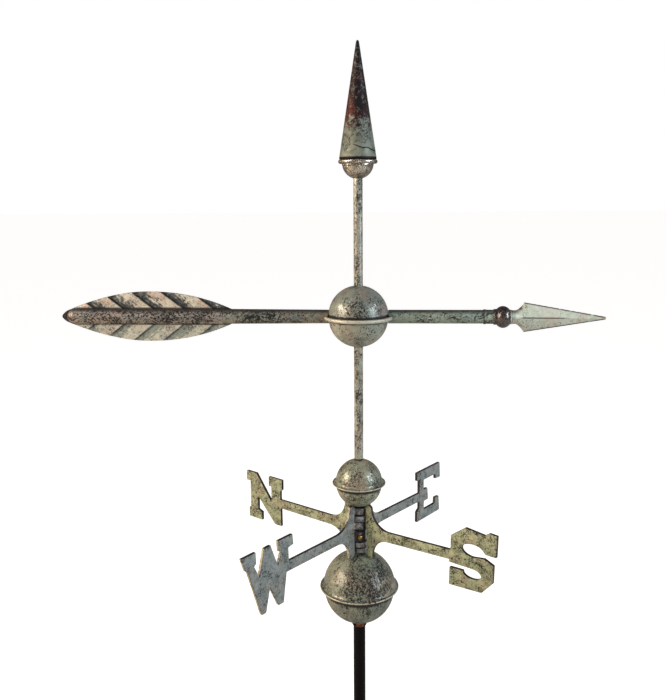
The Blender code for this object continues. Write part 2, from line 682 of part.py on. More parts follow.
def barb_stations():
    """Places along the quill with the relief's share there: a slow rise, then a steep step down towards the root."""
    stations = [(FEATHER_REACH - 0.0004, 0.25), (FEATHER_REACH - QUILL_MARGIN, 0.4)]
    start = FEATHER_REACH - BARB_FIRST
    stations += [(start + BARB_PITCH * 0.5, 0.6), (start + BARB_PITCH * 0.2, 0.85)]
    for barb in range(BARB_COUNT):
        top = start - BARB_PITCH * barb
        if top - BARB_STEP <= FEATHER_ROOT:
            break
        stations += [(top + BARB_STEP, 1.0), (top, 0.0)]
        for share in (0.33, 0.67):
            place = top - (BARB_PITCH - BARB_STEP) * share
            if place > FEATHER_ROOT + BARB_STEP:
                stations.append((place, share ** 0.8))
    stations.append((FEATHER_ROOT, 0.2))
    return stations


def feather_blade():
    """The web of the feather, both faces with the slanting barbs, as one lofted skin."""
    steps_in, steps_out = 1, 4
    skin = bmesh.new()
    rows = []
    for reach, share in barb_stations():
        line = barb_line(reach, steps_in, steps_out)
        half = FEATHER_EDGE_T / 2 + BARB_RISE * share
        rim = FEATHER_EDGE_T / 2 + BARB_RISE * share * RIM_SHARE
        depths = [half] * (len(line) - 1) + [rim]
        upwards = [(along, height, depth) for (along, height), depth in zip(line, depths)]
        downwards = [(along, -height, depth) for along, height, depth in reversed(upwards[1:])]
        front = [(along, height, -depth) for along, height, depth in downwards + upwards]
        back = [(along, height, -depth) for along, height, depth in reversed(front)]
        rows.append([skin.verts.new((-along, depth, Z["arrow"] + height)) for along, height, depth in front + back])
    for row, after in zip(rows, rows[1:]):
        count = len(row)
        for i in range(count):
            j = (i + 1) % count
            skin.faces.new((row[i], row[j], after[j], after[i]))
    skin.faces.new(rows[0])
    skin.faces.new(list(reversed(rows[-1])))
    bmesh.ops.remove_doubles(skin, verts=skin.verts, dist=0.00002)
    bmesh.ops.triangulate(skin, faces=skin.faces)
    bmesh.ops.recalc_face_normals(skin, faces=skin.faces)
    mesh = bpy.data.meshes.new("tail_feather")
    skin.to_mesh(mesh)
    skin.free()
    return bpy.data.objects.new("tail_feather", mesh)


def tail_feather():
    feather = finish(feather_blade(), "patina")
    nose = FEATHER_REACH - QUILL_MARGIN
    profile = arc((0.0, nose - QUILL_NOSE), (QUILL_R_TIP, QUILL_NOSE), 90, 0, 4)
    profile[0] = (0.0, nose)
    profile += [(QUILL_R_ROOT, TAIL_SHAFT_REACH), (0.0, TAIL_SHAFT_REACH)]
    quill = turned("quill", profile, SIDES_SMALL, along_x=True, mirror_x=True, centre=(0, 0, Z["arrow"]))
    boolean(feather, as_cutter(quill), "UNION")
    clear = rod_profile(TAIL_SHAFT_D / 2 + GAP, FEATHER_ROOT - BARB_PITCH, TAIL_SHAFT_REACH)
    room = turned("shaft_clearance", clear, SIDES_LARGE, along_x=True, mirror_x=True, centre=(0, 0, Z["arrow"]))
    boolean(feather, as_cutter(room), "DIFFERENCE")


# Point
def hang_point(item):
    """Turns a piece of the point down about the end of the shaft."""
    bpy.context.view_layer.update()
    hinge = Matrix.Translation((POINT_SHAFT_REACH, 0, Z["arrow"]))
    droop = Matrix.Rotation(math.radians(POINT_DROOP), 4, "Y")
    item.matrix_world = hinge @ droop @ hinge.inverted() @ item.matrix_basis


def point_socket():
    """Turned in one: a ring, a sleeve, a collar, a bead and a neck, from the shaft outwards."""
    ring = POINT_SHAFT_REACH
    sleeve = ring + SOCKET_RING_H
    collar = sleeve + SOCKET_SLEEVE_H
    bead = collar + SOCKET_COLLAR_H
    neck = bead + SOCKET_BEAD_W
    end = neck + SOCKET_NECK_H
    neck_r = SOCKET_NECK_D / 2
    bead_centre = (0.0, (bead + neck) / 2)
    reach = math.degrees(math.acos(neck_r / (SOCKET_BEAD_D / 2)))
    profile = [(0.0, end), (HEAD_NECK_D / 2, end), (HEAD_NECK_D / 2, end - SOCKET_NECK_H * 0.45)]
    profile += [(neck_r, end - SOCKET_NECK_H * 0.55), (neck_r, neck)]
    profile += arc(bead_centre, (SOCKET_BEAD_D / 2, SOCKET_BEAD_W / 2 / math.sin(math.radians(reach))),
                   reach - 4, -reach + 4, 5)
    profile += [(SOCKET_COLLAR_D / 2, bead), (SOCKET_COLLAR_D / 2, collar)]
    profile += [(SOCKET_SLEEVE_D / 2, collar), (SOCKET_SLEEVE_D / 2, sleeve)]
    profile += [(SOCKET_RING_D / 2, sleeve), (SOCKET_RING_D / 2, ring), (0.0, ring)]
    socket = turned("point_socket", profile, SIDES_LARGE, along_x=True, centre=(0, 0, Z["arrow"]))
    hang_point(finish(socket, "dark_patina"))
    return end + GAP


def lance_section(along):
    """Half height, half thickness and squareness at a distance from the head's start; 2 is round, 1 a diamond."""
    barbs = HEAD_NECK_H + HEAD_FLARE
    neck = HEAD_NECK_D / 2
    if along <= HEAD_NECK_H:
        return neck, neck, 2.0
    if along <= barbs:
        share = (along - HEAD_NECK_H) / HEAD_FLARE
        height = neck + (HEAD_H / 2 - neck) * share ** HEAD_SPREAD
        depth = neck + (HEAD_T / 2 - neck) * share
        return height, depth, 2.0 - 0.9 * share ** 0.6
    share = (along - barbs) / HEAD_BLADE
    height = HEAD_H / 2 + (HEAD_TIP_H / 2 - HEAD_H / 2) * share
    depth = HEAD_T / 2 + (HEAD_TIP_H / 2 - HEAD_T / 2) * share ** 1.3
    return height, depth, 1.1


def arrowhead(start):
    """A lance head lofted from its round neck to a ridged blade."""
    around = 16
    barbs = HEAD_NECK_H + HEAD_FLARE
    places = [0.0, HEAD_NECK_H]
    places += [HEAD_NECK_H + HEAD_FLARE * i / 5 for i in range(1, 6)]
    places += [barbs + HEAD_BLADE * i / 3 for i in range(1, 4)]
    skin = bmesh.new()
    rows = []
    for along in places:
        height, depth, squareness = lance_section(along)
        row = []
        for i in range(around):
            angle = math.tau * i / around
            c, s = math.cos(angle), math.sin(angle)
            y = depth * math.copysign(abs(c) ** (2 / squareness), c)
            z = height * math.copysign(abs(s) ** (2 / squareness), s)
            row.append(skin.verts.new((start + along, y, Z["arrow"] + z)))
        rows.append(row)
    for row, after in zip(rows, rows[1:]):
        for i in range(around):
            j = (i + 1) % around
            skin.faces.new((row[i], row[j], after[j], after[i]))
    skin.faces.new(list(reversed(rows[0])))
    skin.faces.new(rows[-1])
    bmesh.ops.recalc_face_normals(skin, faces=skin.faces)
    mesh = bpy.data.meshes.new("arrowhead")
    skin.to_mesh(mesh)
    skin.free()
    hang_point(finish(bpy.data.objects.new("arrowhead", mesh), "patina"))


# Finial
def finial():
    bore = TUBE_D / 2 + GAP
    foot = Z["cup_foot"]
    rim = (CUP_RIM_RING_R, Z["cup_rim"])
    socket_end = foot + TUBE_IN_CUP + SOCKET_DEEP
    low = angle_at_radius(bore, CUP_R)
    centre = foot + CUP_R
    profile = [(0.0, rim[1] + CUP_RIM_R)] + arc(rim, (CUP_RIM_R, CUP_RIM_R), 90, -90, 5)
    profile += arc((0.0, centre), (CUP_R, CUP_R), -1.0, -low, GLOBE_STEPS)
    profile += [(bore, socket_end), (0.0, socket_end)]
    finish(turned("finial_cup", profile, SIDES_LARGE), "copper")
    base = Z["cone_foot"]
    tip = Z["tip"]
    cone = [(0.0, tip), (CONE_TIP_R * 0.6, tip - CONE_TIP_R * 0.2), (CONE_TIP_R, tip - CONE_TIP_R)]
    cone += [(CONE_BASE_R, base + CONE_SKIRT), (CONE_BASE_R, base), (0.0, base)]
    finish(turned("finial_cone", cone, SIDES_LARGE), "dark_patina")


mast_rod()
stop_collar()
globes()
hub_and_arms()
spindle_tube()
ball_halves()
arrow_shafts()
tail_feather()
arrowhead(point_socket())
finial()
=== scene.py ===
"""Looks for the arrow weathervane: aged copper globes, cast compass arms and a feathered arrow on a black rod."""
import math

import bmesh
import bpy
from mathutils import Matrix, Vector


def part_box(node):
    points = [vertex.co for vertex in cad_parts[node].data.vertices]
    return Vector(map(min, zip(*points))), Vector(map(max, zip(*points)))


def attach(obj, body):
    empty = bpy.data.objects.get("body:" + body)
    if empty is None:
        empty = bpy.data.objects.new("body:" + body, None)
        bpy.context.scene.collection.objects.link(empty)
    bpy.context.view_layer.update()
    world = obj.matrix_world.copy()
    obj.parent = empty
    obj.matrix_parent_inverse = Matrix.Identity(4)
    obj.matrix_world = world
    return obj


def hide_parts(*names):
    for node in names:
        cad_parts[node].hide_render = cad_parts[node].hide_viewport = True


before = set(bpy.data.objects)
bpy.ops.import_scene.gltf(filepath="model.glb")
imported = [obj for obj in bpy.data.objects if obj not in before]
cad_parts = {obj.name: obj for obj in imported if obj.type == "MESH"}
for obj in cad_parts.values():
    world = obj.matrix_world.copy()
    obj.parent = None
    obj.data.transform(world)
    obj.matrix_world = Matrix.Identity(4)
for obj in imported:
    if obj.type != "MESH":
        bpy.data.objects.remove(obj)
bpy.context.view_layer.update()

# The photograph's height in pixels and its camera
PHOTO_H = 700
FOCAL_PX = 803.2
LENS_RISE_PX = 55.0          # the lens axis meets the picture this far above its middle
CAMERA_AT = (0.02795, -1.0465, 0.8104)
CAMERA_TURN = -3.35          # degrees, to the left
CAMERA_TILT = -7.37          # degrees, downwards
CAMERA_ROLL = 0.429          # degrees, the picture leans to the left

# Sizes shared with the solids, in metres
GAP = 0.0003
ROD_D = 0.0164
PIN_D = 0.0095
PIN_PLAY = 0.0001
PIN_TIP_IN = 0.0012
PIN_TIP_H = 0.0030
COLLAR_D = 0.0202
COLLAR_EDGE = 0.0012
COLLAR_SCREW_D = 0.0040
COLLAR_SCREW_TURNS = (-38.0, 54.0)
COLLAR_SCREW_PROUD = 0.0006
WASHER_R = 0.0075
LARGE_GLOBE_R = 0.0493
LARGE_LOWER_R = 0.0480
LARGE_BRIM_R = 0.0539
LARGE_BRIM_H = 0.0021
LARGE_BAND = 0.0004
SMALL_GLOBE_R = 0.0314
SMALL_LOWER_R = 0.0308
SMALL_BRIM_R = 0.0360
SMALL_BRIM_H = 0.0018
SMALL_BAND = 0.0018
LOWER_BAND = 0.0006
HUB_NS_H = 0.0318
HUB_EW_H = 0.0317
BARREL_R = 0.0098
COLLAR_RING_R = 0.0110
NECK_R = 0.0090
PLATE_T = 0.0042
NORTH_TURN = -35.5
ROOT_IN = 0.0135
ROOT_W = 0.0095
ROOT_H = 0.0738
ROOT_END = 0.0045
ROOT_FLARE = 0.0265
WEB_MARGIN = 0.0020
ARM_H_ROOT = 0.0136
ARM_H_END = 0.0130
ARM_RISE = {"north": -0.0008, "east": -0.0021, "south": 0.0044, "west": 0.0021}
ARM_Z = 0.0000
ARMS_LIFT = -0.0002
LETTER_NEAR = {"north": 0.1401, "east": 0.1421, "south": 0.1422, "west": 0.1364}
LETTER_W = {"north": 0.0722, "east": 0.0650, "south": 0.0661, "west": 0.0893}
LETTER_H = {"north": 0.0709, "east": 0.0766, "south": 0.0811, "west": 0.0816}
LETTER_DROP = {"north": -0.0015, "east": -0.0010, "south": -0.0010, "west": 0.0025}
BOSS_W = 0.0146
BOSS_H = 0.0144
BOSS_REACH = 0.0118
BOSS_RECESS = 0.0022
BOSS_RIM = 0.0019
BOSS_TOP_MARGIN = 0.0008
BOSS_START = 0.0060
HUB_SCREW_D = 0.0050
HUB_SCREW_HEAD_D = 0.0070
HUB_SCREW_HEAD_H = 0.0026
HUB_SCREW_DROP = 0.0012
HUB_SCREW_TURN = 24.0
HUB_SLOT_DEEP = 0.0012
HUB_SLOT_W = 0.0009
TUBE_D = 0.0120
BALL_R = 0.0394
BALL_BAND = 0.0025
BEAD_RING_R = 0.0431
BEAD_R = 0.0025
BEAD_Z = -0.0003
BEAD_GROOVE = 0.0012
BEAD_LIP = 0.0014
SHAFT_D = 0.0180
TAIL_SHAFT_D = 0.0199
TAIL_SHAFT_REACH = 0.1788
POINT_SHAFT_REACH = 0.1634
SHAFT_START = 0.0340
FEATHER_REACH = 0.3982
FEATHER_WIDEST = 0.2824
FEATHER_HALF_H = 0.0331
FEATHER_TIP_RUN = 0.1250
FEATHER_TIP_POWER = 1.8
FEATHER_NOSE = 0.0080
FEATHER_ROOT_RUN = 0.1335
FEATHER_ROOT_POWER = 2.2
FEATHER_ROOT = 0.1657
FEATHER_EDGE_T = 0.0022
BARB_COUNT = 6
BARB_PITCH = 0.0404
BARB_FIRST = 0.0470
BARB_SLANT = 1.27
BARB_RISE = 0.0026
BARB_STEP = 0.0010
RIM_SHARE = 0.45
QUILL_R_ROOT = 0.0101
QUILL_R_TIP = 0.0105
QUILL_NOSE = 0.0120
QUILL_MARGIN = 0.0070
SOCKET_RING_H = 0.0027
SOCKET_SLEEVE_H = 0.0105
SOCKET_COLLAR_H = 0.0030
SOCKET_BEAD_W = 0.0177
SOCKET_NECK_H = 0.0049
SOCKET_RING_D = 0.0197
SOCKET_SLEEVE_D = 0.0186
SOCKET_COLLAR_D = 0.0208
SOCKET_BEAD_D = 0.0288
SOCKET_NECK_D = 0.0190
HEAD_NECK_D = 0.0180
HEAD_NECK_H = 0.0018
HEAD_FLARE = 0.0115
HEAD_H = 0.0391
HEAD_T = 0.0130
HEAD_BLADE = 0.1044
HEAD_TIP_H = 0.0036
HEAD_SPREAD = 1.6
POINT_DROOP = 0.62
CUP_R = 0.0204
CUP_RIM_R = 0.0028
CUP_RIM_RING_R = 0.0226
CUP_SEAT_PLAY = 0.0006
CONE_BASE_R = 0.0241
CONE_TIP_R = 0.0020
CONE_SKIRT = 0.0012

# Fineness of the finished pieces
SIDES = 128
SIDES_SLIM = 72
ARC_STEPS = 28


def foot(node):
    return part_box(node)[0].z


def top(node):
    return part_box(node)[1].z


# Heights, read from the solids
Z_LARGE_JOINT = foot("large_globe_upper")
Z_SMALL_JOINT = foot("small_globe_upper")
Z_HUB_FOOT = top("hub_washer") + GAP
Z_HUB_JOINT = Z_HUB_FOOT + HUB_EW_H
Z_HUB_TOP = Z_HUB_JOINT + GAP + HUB_NS_H
Z_ARMS = (Z_HUB_FOOT + Z_HUB_TOP) / 2 + ARMS_LIFT
Z_BALL_JOINT = foot("ball_upper")
Z_ARROW = (foot("point_shaft") + top("point_shaft")) / 2


# Node trees
class Value:
    """One output of a node, to be reckoned with like a number."""

    def __init__(self, tree, socket):
        self.tree = tree
        self.socket = socket

    def __add__(self, other):
        return calc("ADD", self, other)

    def __sub__(self, other):
        return calc("SUBTRACT", self, other)

    def __rsub__(self, other):
        return calc("SUBTRACT", other, self)

    def __mul__(self, other):
        return calc("MULTIPLY", self, other)

    def __truediv__(self, other):
        return calc("DIVIDE", self, other)

    def __pow__(self, other):
        return calc("POWER", self, other)

    def __neg__(self):
        return calc("MULTIPLY", self, -1.0)

    def __abs__(self):
        return calc("ABSOLUTE", self)


def fill(node, values):
    """Sets a node's inputs to plain values, or links them to other nodes' outputs."""
    for key, value in values.items():
        if isinstance(value, Value):
            value.tree.links.new(value.socket, node.inputs[key])
        else:
            node.inputs[key].default_value = value


def new_node(tree, kind, values=None, **settings):
    node = tree.nodes.new(kind)
    for key, value in settings.items():
        setattr(node, key, value)
    fill(node, values or {})
    return node


def add_node(tree, kind, values=None, out=0, **settings):
    return Value(tree, new_node(tree, kind, values, **settings).outputs[out])


def calc(operation, *values, clamp=False):
    tree = next(value.tree for value in values if isinstance(value, Value))
    return add_node(tree, "ShaderNodeMath", dict(enumerate(values)), operation=operation, use_clamp=clamp)


def larger(a, b, clamp=False):
    return calc("MAXIMUM", a, b, clamp=clamp)


def ranged(value, low, high, from_low=0.0, from_high=1.0):
    return add_node(value.tree, "ShaderNodeMapRange", {0: value, 1: from_low, 2: from_high, 3: low, 4: high})


def between(value, low, high):
    """0 below low, 1 above high, and a smooth slope from one to the other."""
    return add_node(value.tree, "ShaderNodeMapRange", {0: value, 1: low, 2: high, 3: 0.0, 4: 1.0},
                    interpolation_type="SMOOTHSTEP")


def blended(share, below, above):
    """One colour laid over another by a share."""
    colours = {6: below, 7: above}
    inputs = {key: value if isinstance(value, Value) else (*value, 1.0) for key, value in colours.items()}
    return add_node(share.tree, "ShaderNodeMix", {0: share, **inputs}, out=2, data_type="RGBA")


def noise(place, scale, detail=2.0, roughness=0.5, distortion=0.0):
    values = {"Vector": place, "Scale": scale, "Detail": detail, "Roughness": roughness, "Distortion": distortion}
    return add_node(place.tree, "ShaderNodeTexNoise", values)


def object_place(tree):
    return add_node(tree, "ShaderNodeTexCoord", out="Object")


def split(place):
    """The x, y and z of a place or a direction."""
    node = new_node(place.tree, "ShaderNodeSeparateXYZ", {0: place})
    return [Value(place.tree, output) for output in node.outputs]


def off_axis(place):
    """The distance from the mast's axis."""
    flat = add_node(place.tree, "ShaderNodeVectorMath", {0: place, 1: (1.0, 1.0, 0.0)}, operation="MULTIPLY")
    return add_node(place.tree, "ShaderNodeVectorMath", {0: flat}, out="Value", operation="LENGTH")


def bumped(height, strength, distance):
    return add_node(height.tree, "ShaderNodeBump", {"Strength": strength, "Distance": distance, "Height": height})


def new_group(name, inputs, outputs, kind="ShaderNodeTree"):
    """A group of nodes: its tree, the values given to it, its end, and the keys of its inputs."""
    group = bpy.data.node_groups.new(name, kind)
    keys = {}
    for label, sort, value in inputs:
        socket = group.interface.new_socket(name=label, in_out="INPUT", socket_type="NodeSocket" + sort)
        if value is not None:
            socket.default_value = value
        keys[label] = socket.identifier
    for label, sort in outputs:
        group.interface.new_socket(name=label, in_out="OUTPUT", socket_type="NodeSocket" + sort)
    start = group.nodes.new("NodeGroupInput")
    given = {label: Value(group, start.outputs[label]) for label in keys}
    return group, given, group.nodes.new("NodeGroupOutput"), keys


def patina_marks():
    """Where aged copper is cloudy, warm, blotched, flecked with black, worm-marked, chalky or rubbed to bare metal."""
    group, given, end, _ = new_group(
        "patina_marks",
        (("Place", "Vector", None), ("Cloud Scale", "Float", 18.0), ("Fleck Scale", "Float", 330.0),
         ("Fleck Cover", "Float", 0.4), ("Worm Scale", "Float", 150.0), ("Worm Cover", "Float", 0.3),
         ("Bare Cover", "Float", 0.2)),
        [(label, "Float") for label in ("Cloud", "Warmth", "Blotch", "Fleck", "Chalk", "Bare", "Height")])
    place, cloud_scale, fleck_scale, fleck_cover, worm_scale, worm_cover, bare_cover = given.values()
    shifted = add_node(group, "ShaderNodeVectorMath", {0: place, 1: (3.7, 1.9, 8.3)}, operation="ADD")
    cloud = between(noise(place, cloud_scale, 4.0, 0.55, 0.4), 0.36, 0.66)
    warmth = between(noise(shifted, cloud_scale * 1.7, 3.0, 0.55), 0.45, 0.68)
    blotch = between(noise(shifted, fleck_scale * 0.36, 4.0, 0.66, 0.8), 0.47, 0.66)
    # black flecks crowd together in some places and thin out in others, with a finer pepper among them
    crowd = noise(shifted, cloud_scale * 2.3, 3.0, 0.6)
    lift = (crowd - 0.5) * 0.42
    edge = 0.80 - fleck_cover * 0.42
    flecks = between(noise(place, fleck_scale, 3.5, 0.62, 0.6) + lift, edge, edge + 0.035)
    pepper = between(noise(shifted, fleck_scale * 1.8, 2.0, 0.6) + lift, edge, edge + 0.03)
    # worm marks follow the level lines of a slower noise
    off_line = abs(noise(shifted, worm_scale, 2.0, 0.5, 1.2) - 0.5)
    width = worm_cover * 0.060
    worms = (1.0 - between(off_line, width * 0.4, width)) * between(crowd, 0.42, 0.54)
    fleck = larger(larger(flecks, pepper * 0.9), worms, clamp=True)
    chalk = between(noise(shifted, 260.0, 4.0, 0.7), 0.50, 0.68)
    bare_edge = 0.78 - bare_cover * 0.36
    bare = between(noise(place, cloud_scale * 5.0, 5.0, 0.68, 0.8), bare_edge, bare_edge + 0.06)
    height = noise(place, 900.0, 3.0, 0.6) * 0.35 - fleck * 0.8 + chalk * 0.35
    fill(end, {"Cloud": cloud, "Warmth": warmth, "Blotch": blotch, "Fleck": fleck, "Chalk": chalk, "Bare": bare,
               "Height": height})
    return group


def seam_and_shade_line():
    """A dark band round the mast at one height, ragged along its edges."""
    group, given, end, _ = new_group(
        "seam_and_shade_line",
        (("Place", "Vector", None), ("Height", "Float", 0.0), ("Below", "Float", 0.003), ("Above", "Float", 0.001)),
        (("Line", "Float"),))
    place, height, below, above = given.values()
    drop = height - split(place)[2] + (noise(place, 160.0, 3.0) - 0.5) * (below * 0.8)
    under = 1.0 - between(drop, below * 0.6, below)
    fill(end, {"Line": under * between(drop, -above, 0.0)})
    return group


def light_facing_sides():
    """How far the surface faces the sky, for painted shade on top, the ground, for painted warm floor light
    underneath, and the left, for painted light on that side.
    """
    group, _, end, _ = new_group("light_facing_sides", (), [(label, "Float") for label in ("Top Shade", "Floor Light", "Left Light")])
    x, _, z = split(add_node(group, "ShaderNodeTexCoord", out="Normal"))
    fill(end, {"Top Shade": between(z, 0.35, 0.95), "Floor Light": between(-z, 0.2, 0.95), "Left Light": between(-x, 0.25, 0.6)})
    return group


MARKS = patina_marks()
SEAM_AND_SHADE = seam_and_shade_line()
LIGHT_SIDES = light_facing_sides()


def use_group(tree, group, values=None):
    node = new_node(tree, "ShaderNodeGroup", values, node_tree=group)
    return {output.name: Value(tree, output) for output in node.outputs}


def marks_on(place, cloud, fleck_scale, fleck, worm_scale, worm, bare):
    return use_group(place.tree, MARKS, {
        "Place": place, "Cloud Scale": cloud, "Fleck Scale": fleck_scale, "Fleck Cover": fleck,
        "Worm Scale": worm_scale, "Worm Cover": worm, "Bare Cover": bare})


def new_material(name, colour):
    material = bpy.data.materials.new(name)
    material.use_nodes = True
    material.diffuse_color = (*colour, 1.0)
    tree = material.node_tree
    return material, tree, tree.nodes["Principled BSDF"]


def cover_with(name, colour, make_mask):
    """Lays one more colour over a finish, where the mask says."""
    tree = FINISHES[name].node_tree
    shader = tree.nodes["Principled BSDF"]
    below = Value(tree, shader.inputs["Base Color"].links[0].from_socket)
    place = object_place(tree)
    x, _, z = split(place)
    fill(shader, {"Base Color": blended(make_mask(place, x, z), below, colour)})


def crisp_flecks(raw, edge):
    return between(raw, edge, edge + 0.035)


def fleck_noise(place, scale):
    return noise(place, scale, 3.0, 0.62, 0.8)


def crowded(centre, core, reach, scale=330.0, edge=0.49):
    """Black flecks crowded in the core of one spot of the front and the back, and thinning out to its reach."""
    def mask(place, x, z):
        away = calc("SQRT", (x - centre[0]) ** 2.0 + (z - centre[1]) ** 2.0)
        return crisp_flecks(fleck_noise(place, scale) - between(away, core, reach) * 0.22, edge) * 0.94
    return mask


def rim_highlight(radius, soft):
    """A painted highlight round the outermost edge of a turned piece, broken by flecks."""
    def mask(place, x, z):
        rim = between(off_axis(place), radius - soft, radius - soft * 0.4)
        return rim * (1.0 - crisp_flecks(fleck_noise(place, 300.0), 0.58))
    return mask


def head_lines(place, x, z):
    """A dark line along the ridge's first half, and soot along the sharp edges, broken here and there."""
    start = POINT_SHAFT_REACH + SOCKET_RING_H + SOCKET_SLEEVE_H + SOCKET_COLLAR_H + SOCKET_BEAD_W + SOCKET_NECK_H
    droop = (x - POINT_SHAFT_REACH) * math.tan(math.radians(POINT_DROOP))
    off = abs(z - (Z_ARROW - droop))
    ridge = 1.0 - between(off, 0.0004, 0.0012)
    ridge = ridge * between(x, start + 0.006, start + 0.014) * (1.0 - between(x, start + 0.058, start + 0.074))
    blade = x - (start + HEAD_NECK_H + HEAD_FLARE)
    edge_at = HEAD_H / 2 - blade * ((HEAD_H - HEAD_TIP_H) / 2 / HEAD_BLADE)
    edge = between(off - edge_at, -0.0019, -0.0009) * calc("GREATER_THAN", blade, -0.0005)
    flare = (1.0 - between(blade, -0.004, -0.001)) * between(off, HEAD_NECK_D / 2 - 0.001, HEAD_NECK_D / 2 + 0.003)
    broken = between(noise(place, 75.0, 3.0, 0.6), 0.40, 0.47)
    return calc("MULTIPLY", larger(ridge, larger(edge, flare) * broken), 0.9, clamp=True)


def cone_crack(place, x, z):
    """A crack that runs round the cone's right side, a little above its foot."""
    level = (noise(place, 60.0, 3.0) - 0.5) * 0.010 + x * -0.28 + (foot("finial_cone") + 0.0165)
    return (1.0 - between(abs(z - level), 0.0004, 0.0011)) * between(x, -0.008, -0.002)


def cone_foot(place, x, z):
    return 1.0 - between(z, foot("finial_cone") + 0.0024, foot("finial_cone") + 0.0032)


BLACK = (0.014, 0.011, 0.011)
BARE_COPPER = (0.46, 0.20, 0.13)


def patina(name, pale, deep, warm, fleck=0.4, worm=0.3, bare=0.2, cloud=18.0, fleck_scale=330.0, worm_scale=150.0,
           stretch=(1.0, 1.0, 1.0), seam_and_shade_bands=(), upper=0.0, lower=None, gloss=(0.34, 0.62), coat=0.25, metal=0.25,
           left_lit_colour=None, blotch=0.55, core=0.0):
    """Aged copper: clouds between two greens, warm stains, black flecks, chalk and bare copper showing through, with
    dark bands, and where asked painted shade on top-facing sides and near the mast, painted floor light underneath and
    painted light on edges facing left.
    """
    material, tree, shader = new_material(name, pale)
    place = object_place(tree)
    stretched = add_node(tree, "ShaderNodeMapping", {"Vector": place, "Scale": stretch})
    marks = marks_on(stretched, cloud, fleck_scale, fleck, worm_scale, worm, bare)
    sides = use_group(tree, LIGHT_SIDES) if lower or upper or left_lit_colour else None
    colour = blended(marks["Cloud"], pale, deep)
    colour = blended(marks["Warmth"] * 0.75, colour, warm)
    colour = blended(marks["Blotch"] * blotch, colour, [c * 0.42 for c in deep])
    colour = blended(marks["Chalk"] * 0.30, colour, [min(1.0, c * 1.5) for c in pale])
    colour = blended(marks["Bare"] * 0.8, colour, BARE_COPPER)
    # painted light: sides that face the ground take a warm colour, as if lit from the floor
    if lower:
        colour = blended(sides["Floor Light"] * 0.7, colour, lower)
    shade = marks["Fleck"] * 0.93
    # painted shade: sides that face the sky are darkened towards black
    if upper:
        shade = larger(shade, sides["Top Shade"] * upper)
    # painted shade: the plates darken close to the mast's axis, where they meet the barrel
    if core:
        near = 1.0 - between(off_axis(place), core - 0.0008, core)
        shade = larger(shade, near * 0.96)
    # dark bands at given heights: dark seams at the joints, and painted shade under the globes' brims and in the hub's
    # gaps
    for height, below, above in seam_and_shade_bands:
        dark_band = use_group(tree, SEAM_AND_SHADE, {"Place": place, "Height": height, "Below": below, "Above": above})
        shade = larger(shade, dark_band["Line"] * 0.95)
    colour = blended(shade, colour, BLACK)
    # painted light: edges that face left, on the left of the mast, are lightened as if lit by the warm key
    if left_lit_colour:
        lit_from_left = sides["Left Light"] * (1.0 - marks["Fleck"]) * (1.0 - between(split(place)[0], 0.02, 0.03))
        colour = blended(lit_from_left, colour, left_lit_colour)
    fill(shader, {
        "Base Color": colour,
        "Roughness": calc("ADD", ranged(marks["Cloud"], *gloss), marks["Fleck"] * 0.12, clamp=True),
        "Metallic": calc("ADD", marks["Bare"] * 0.6, metal, clamp=True), "Specular IOR Level": 0.30,
        "Coat Weight": coat, "Coat Roughness": 0.10, "Normal": bumped(marks["Height"], 0.8, 0.00025)})
    return material


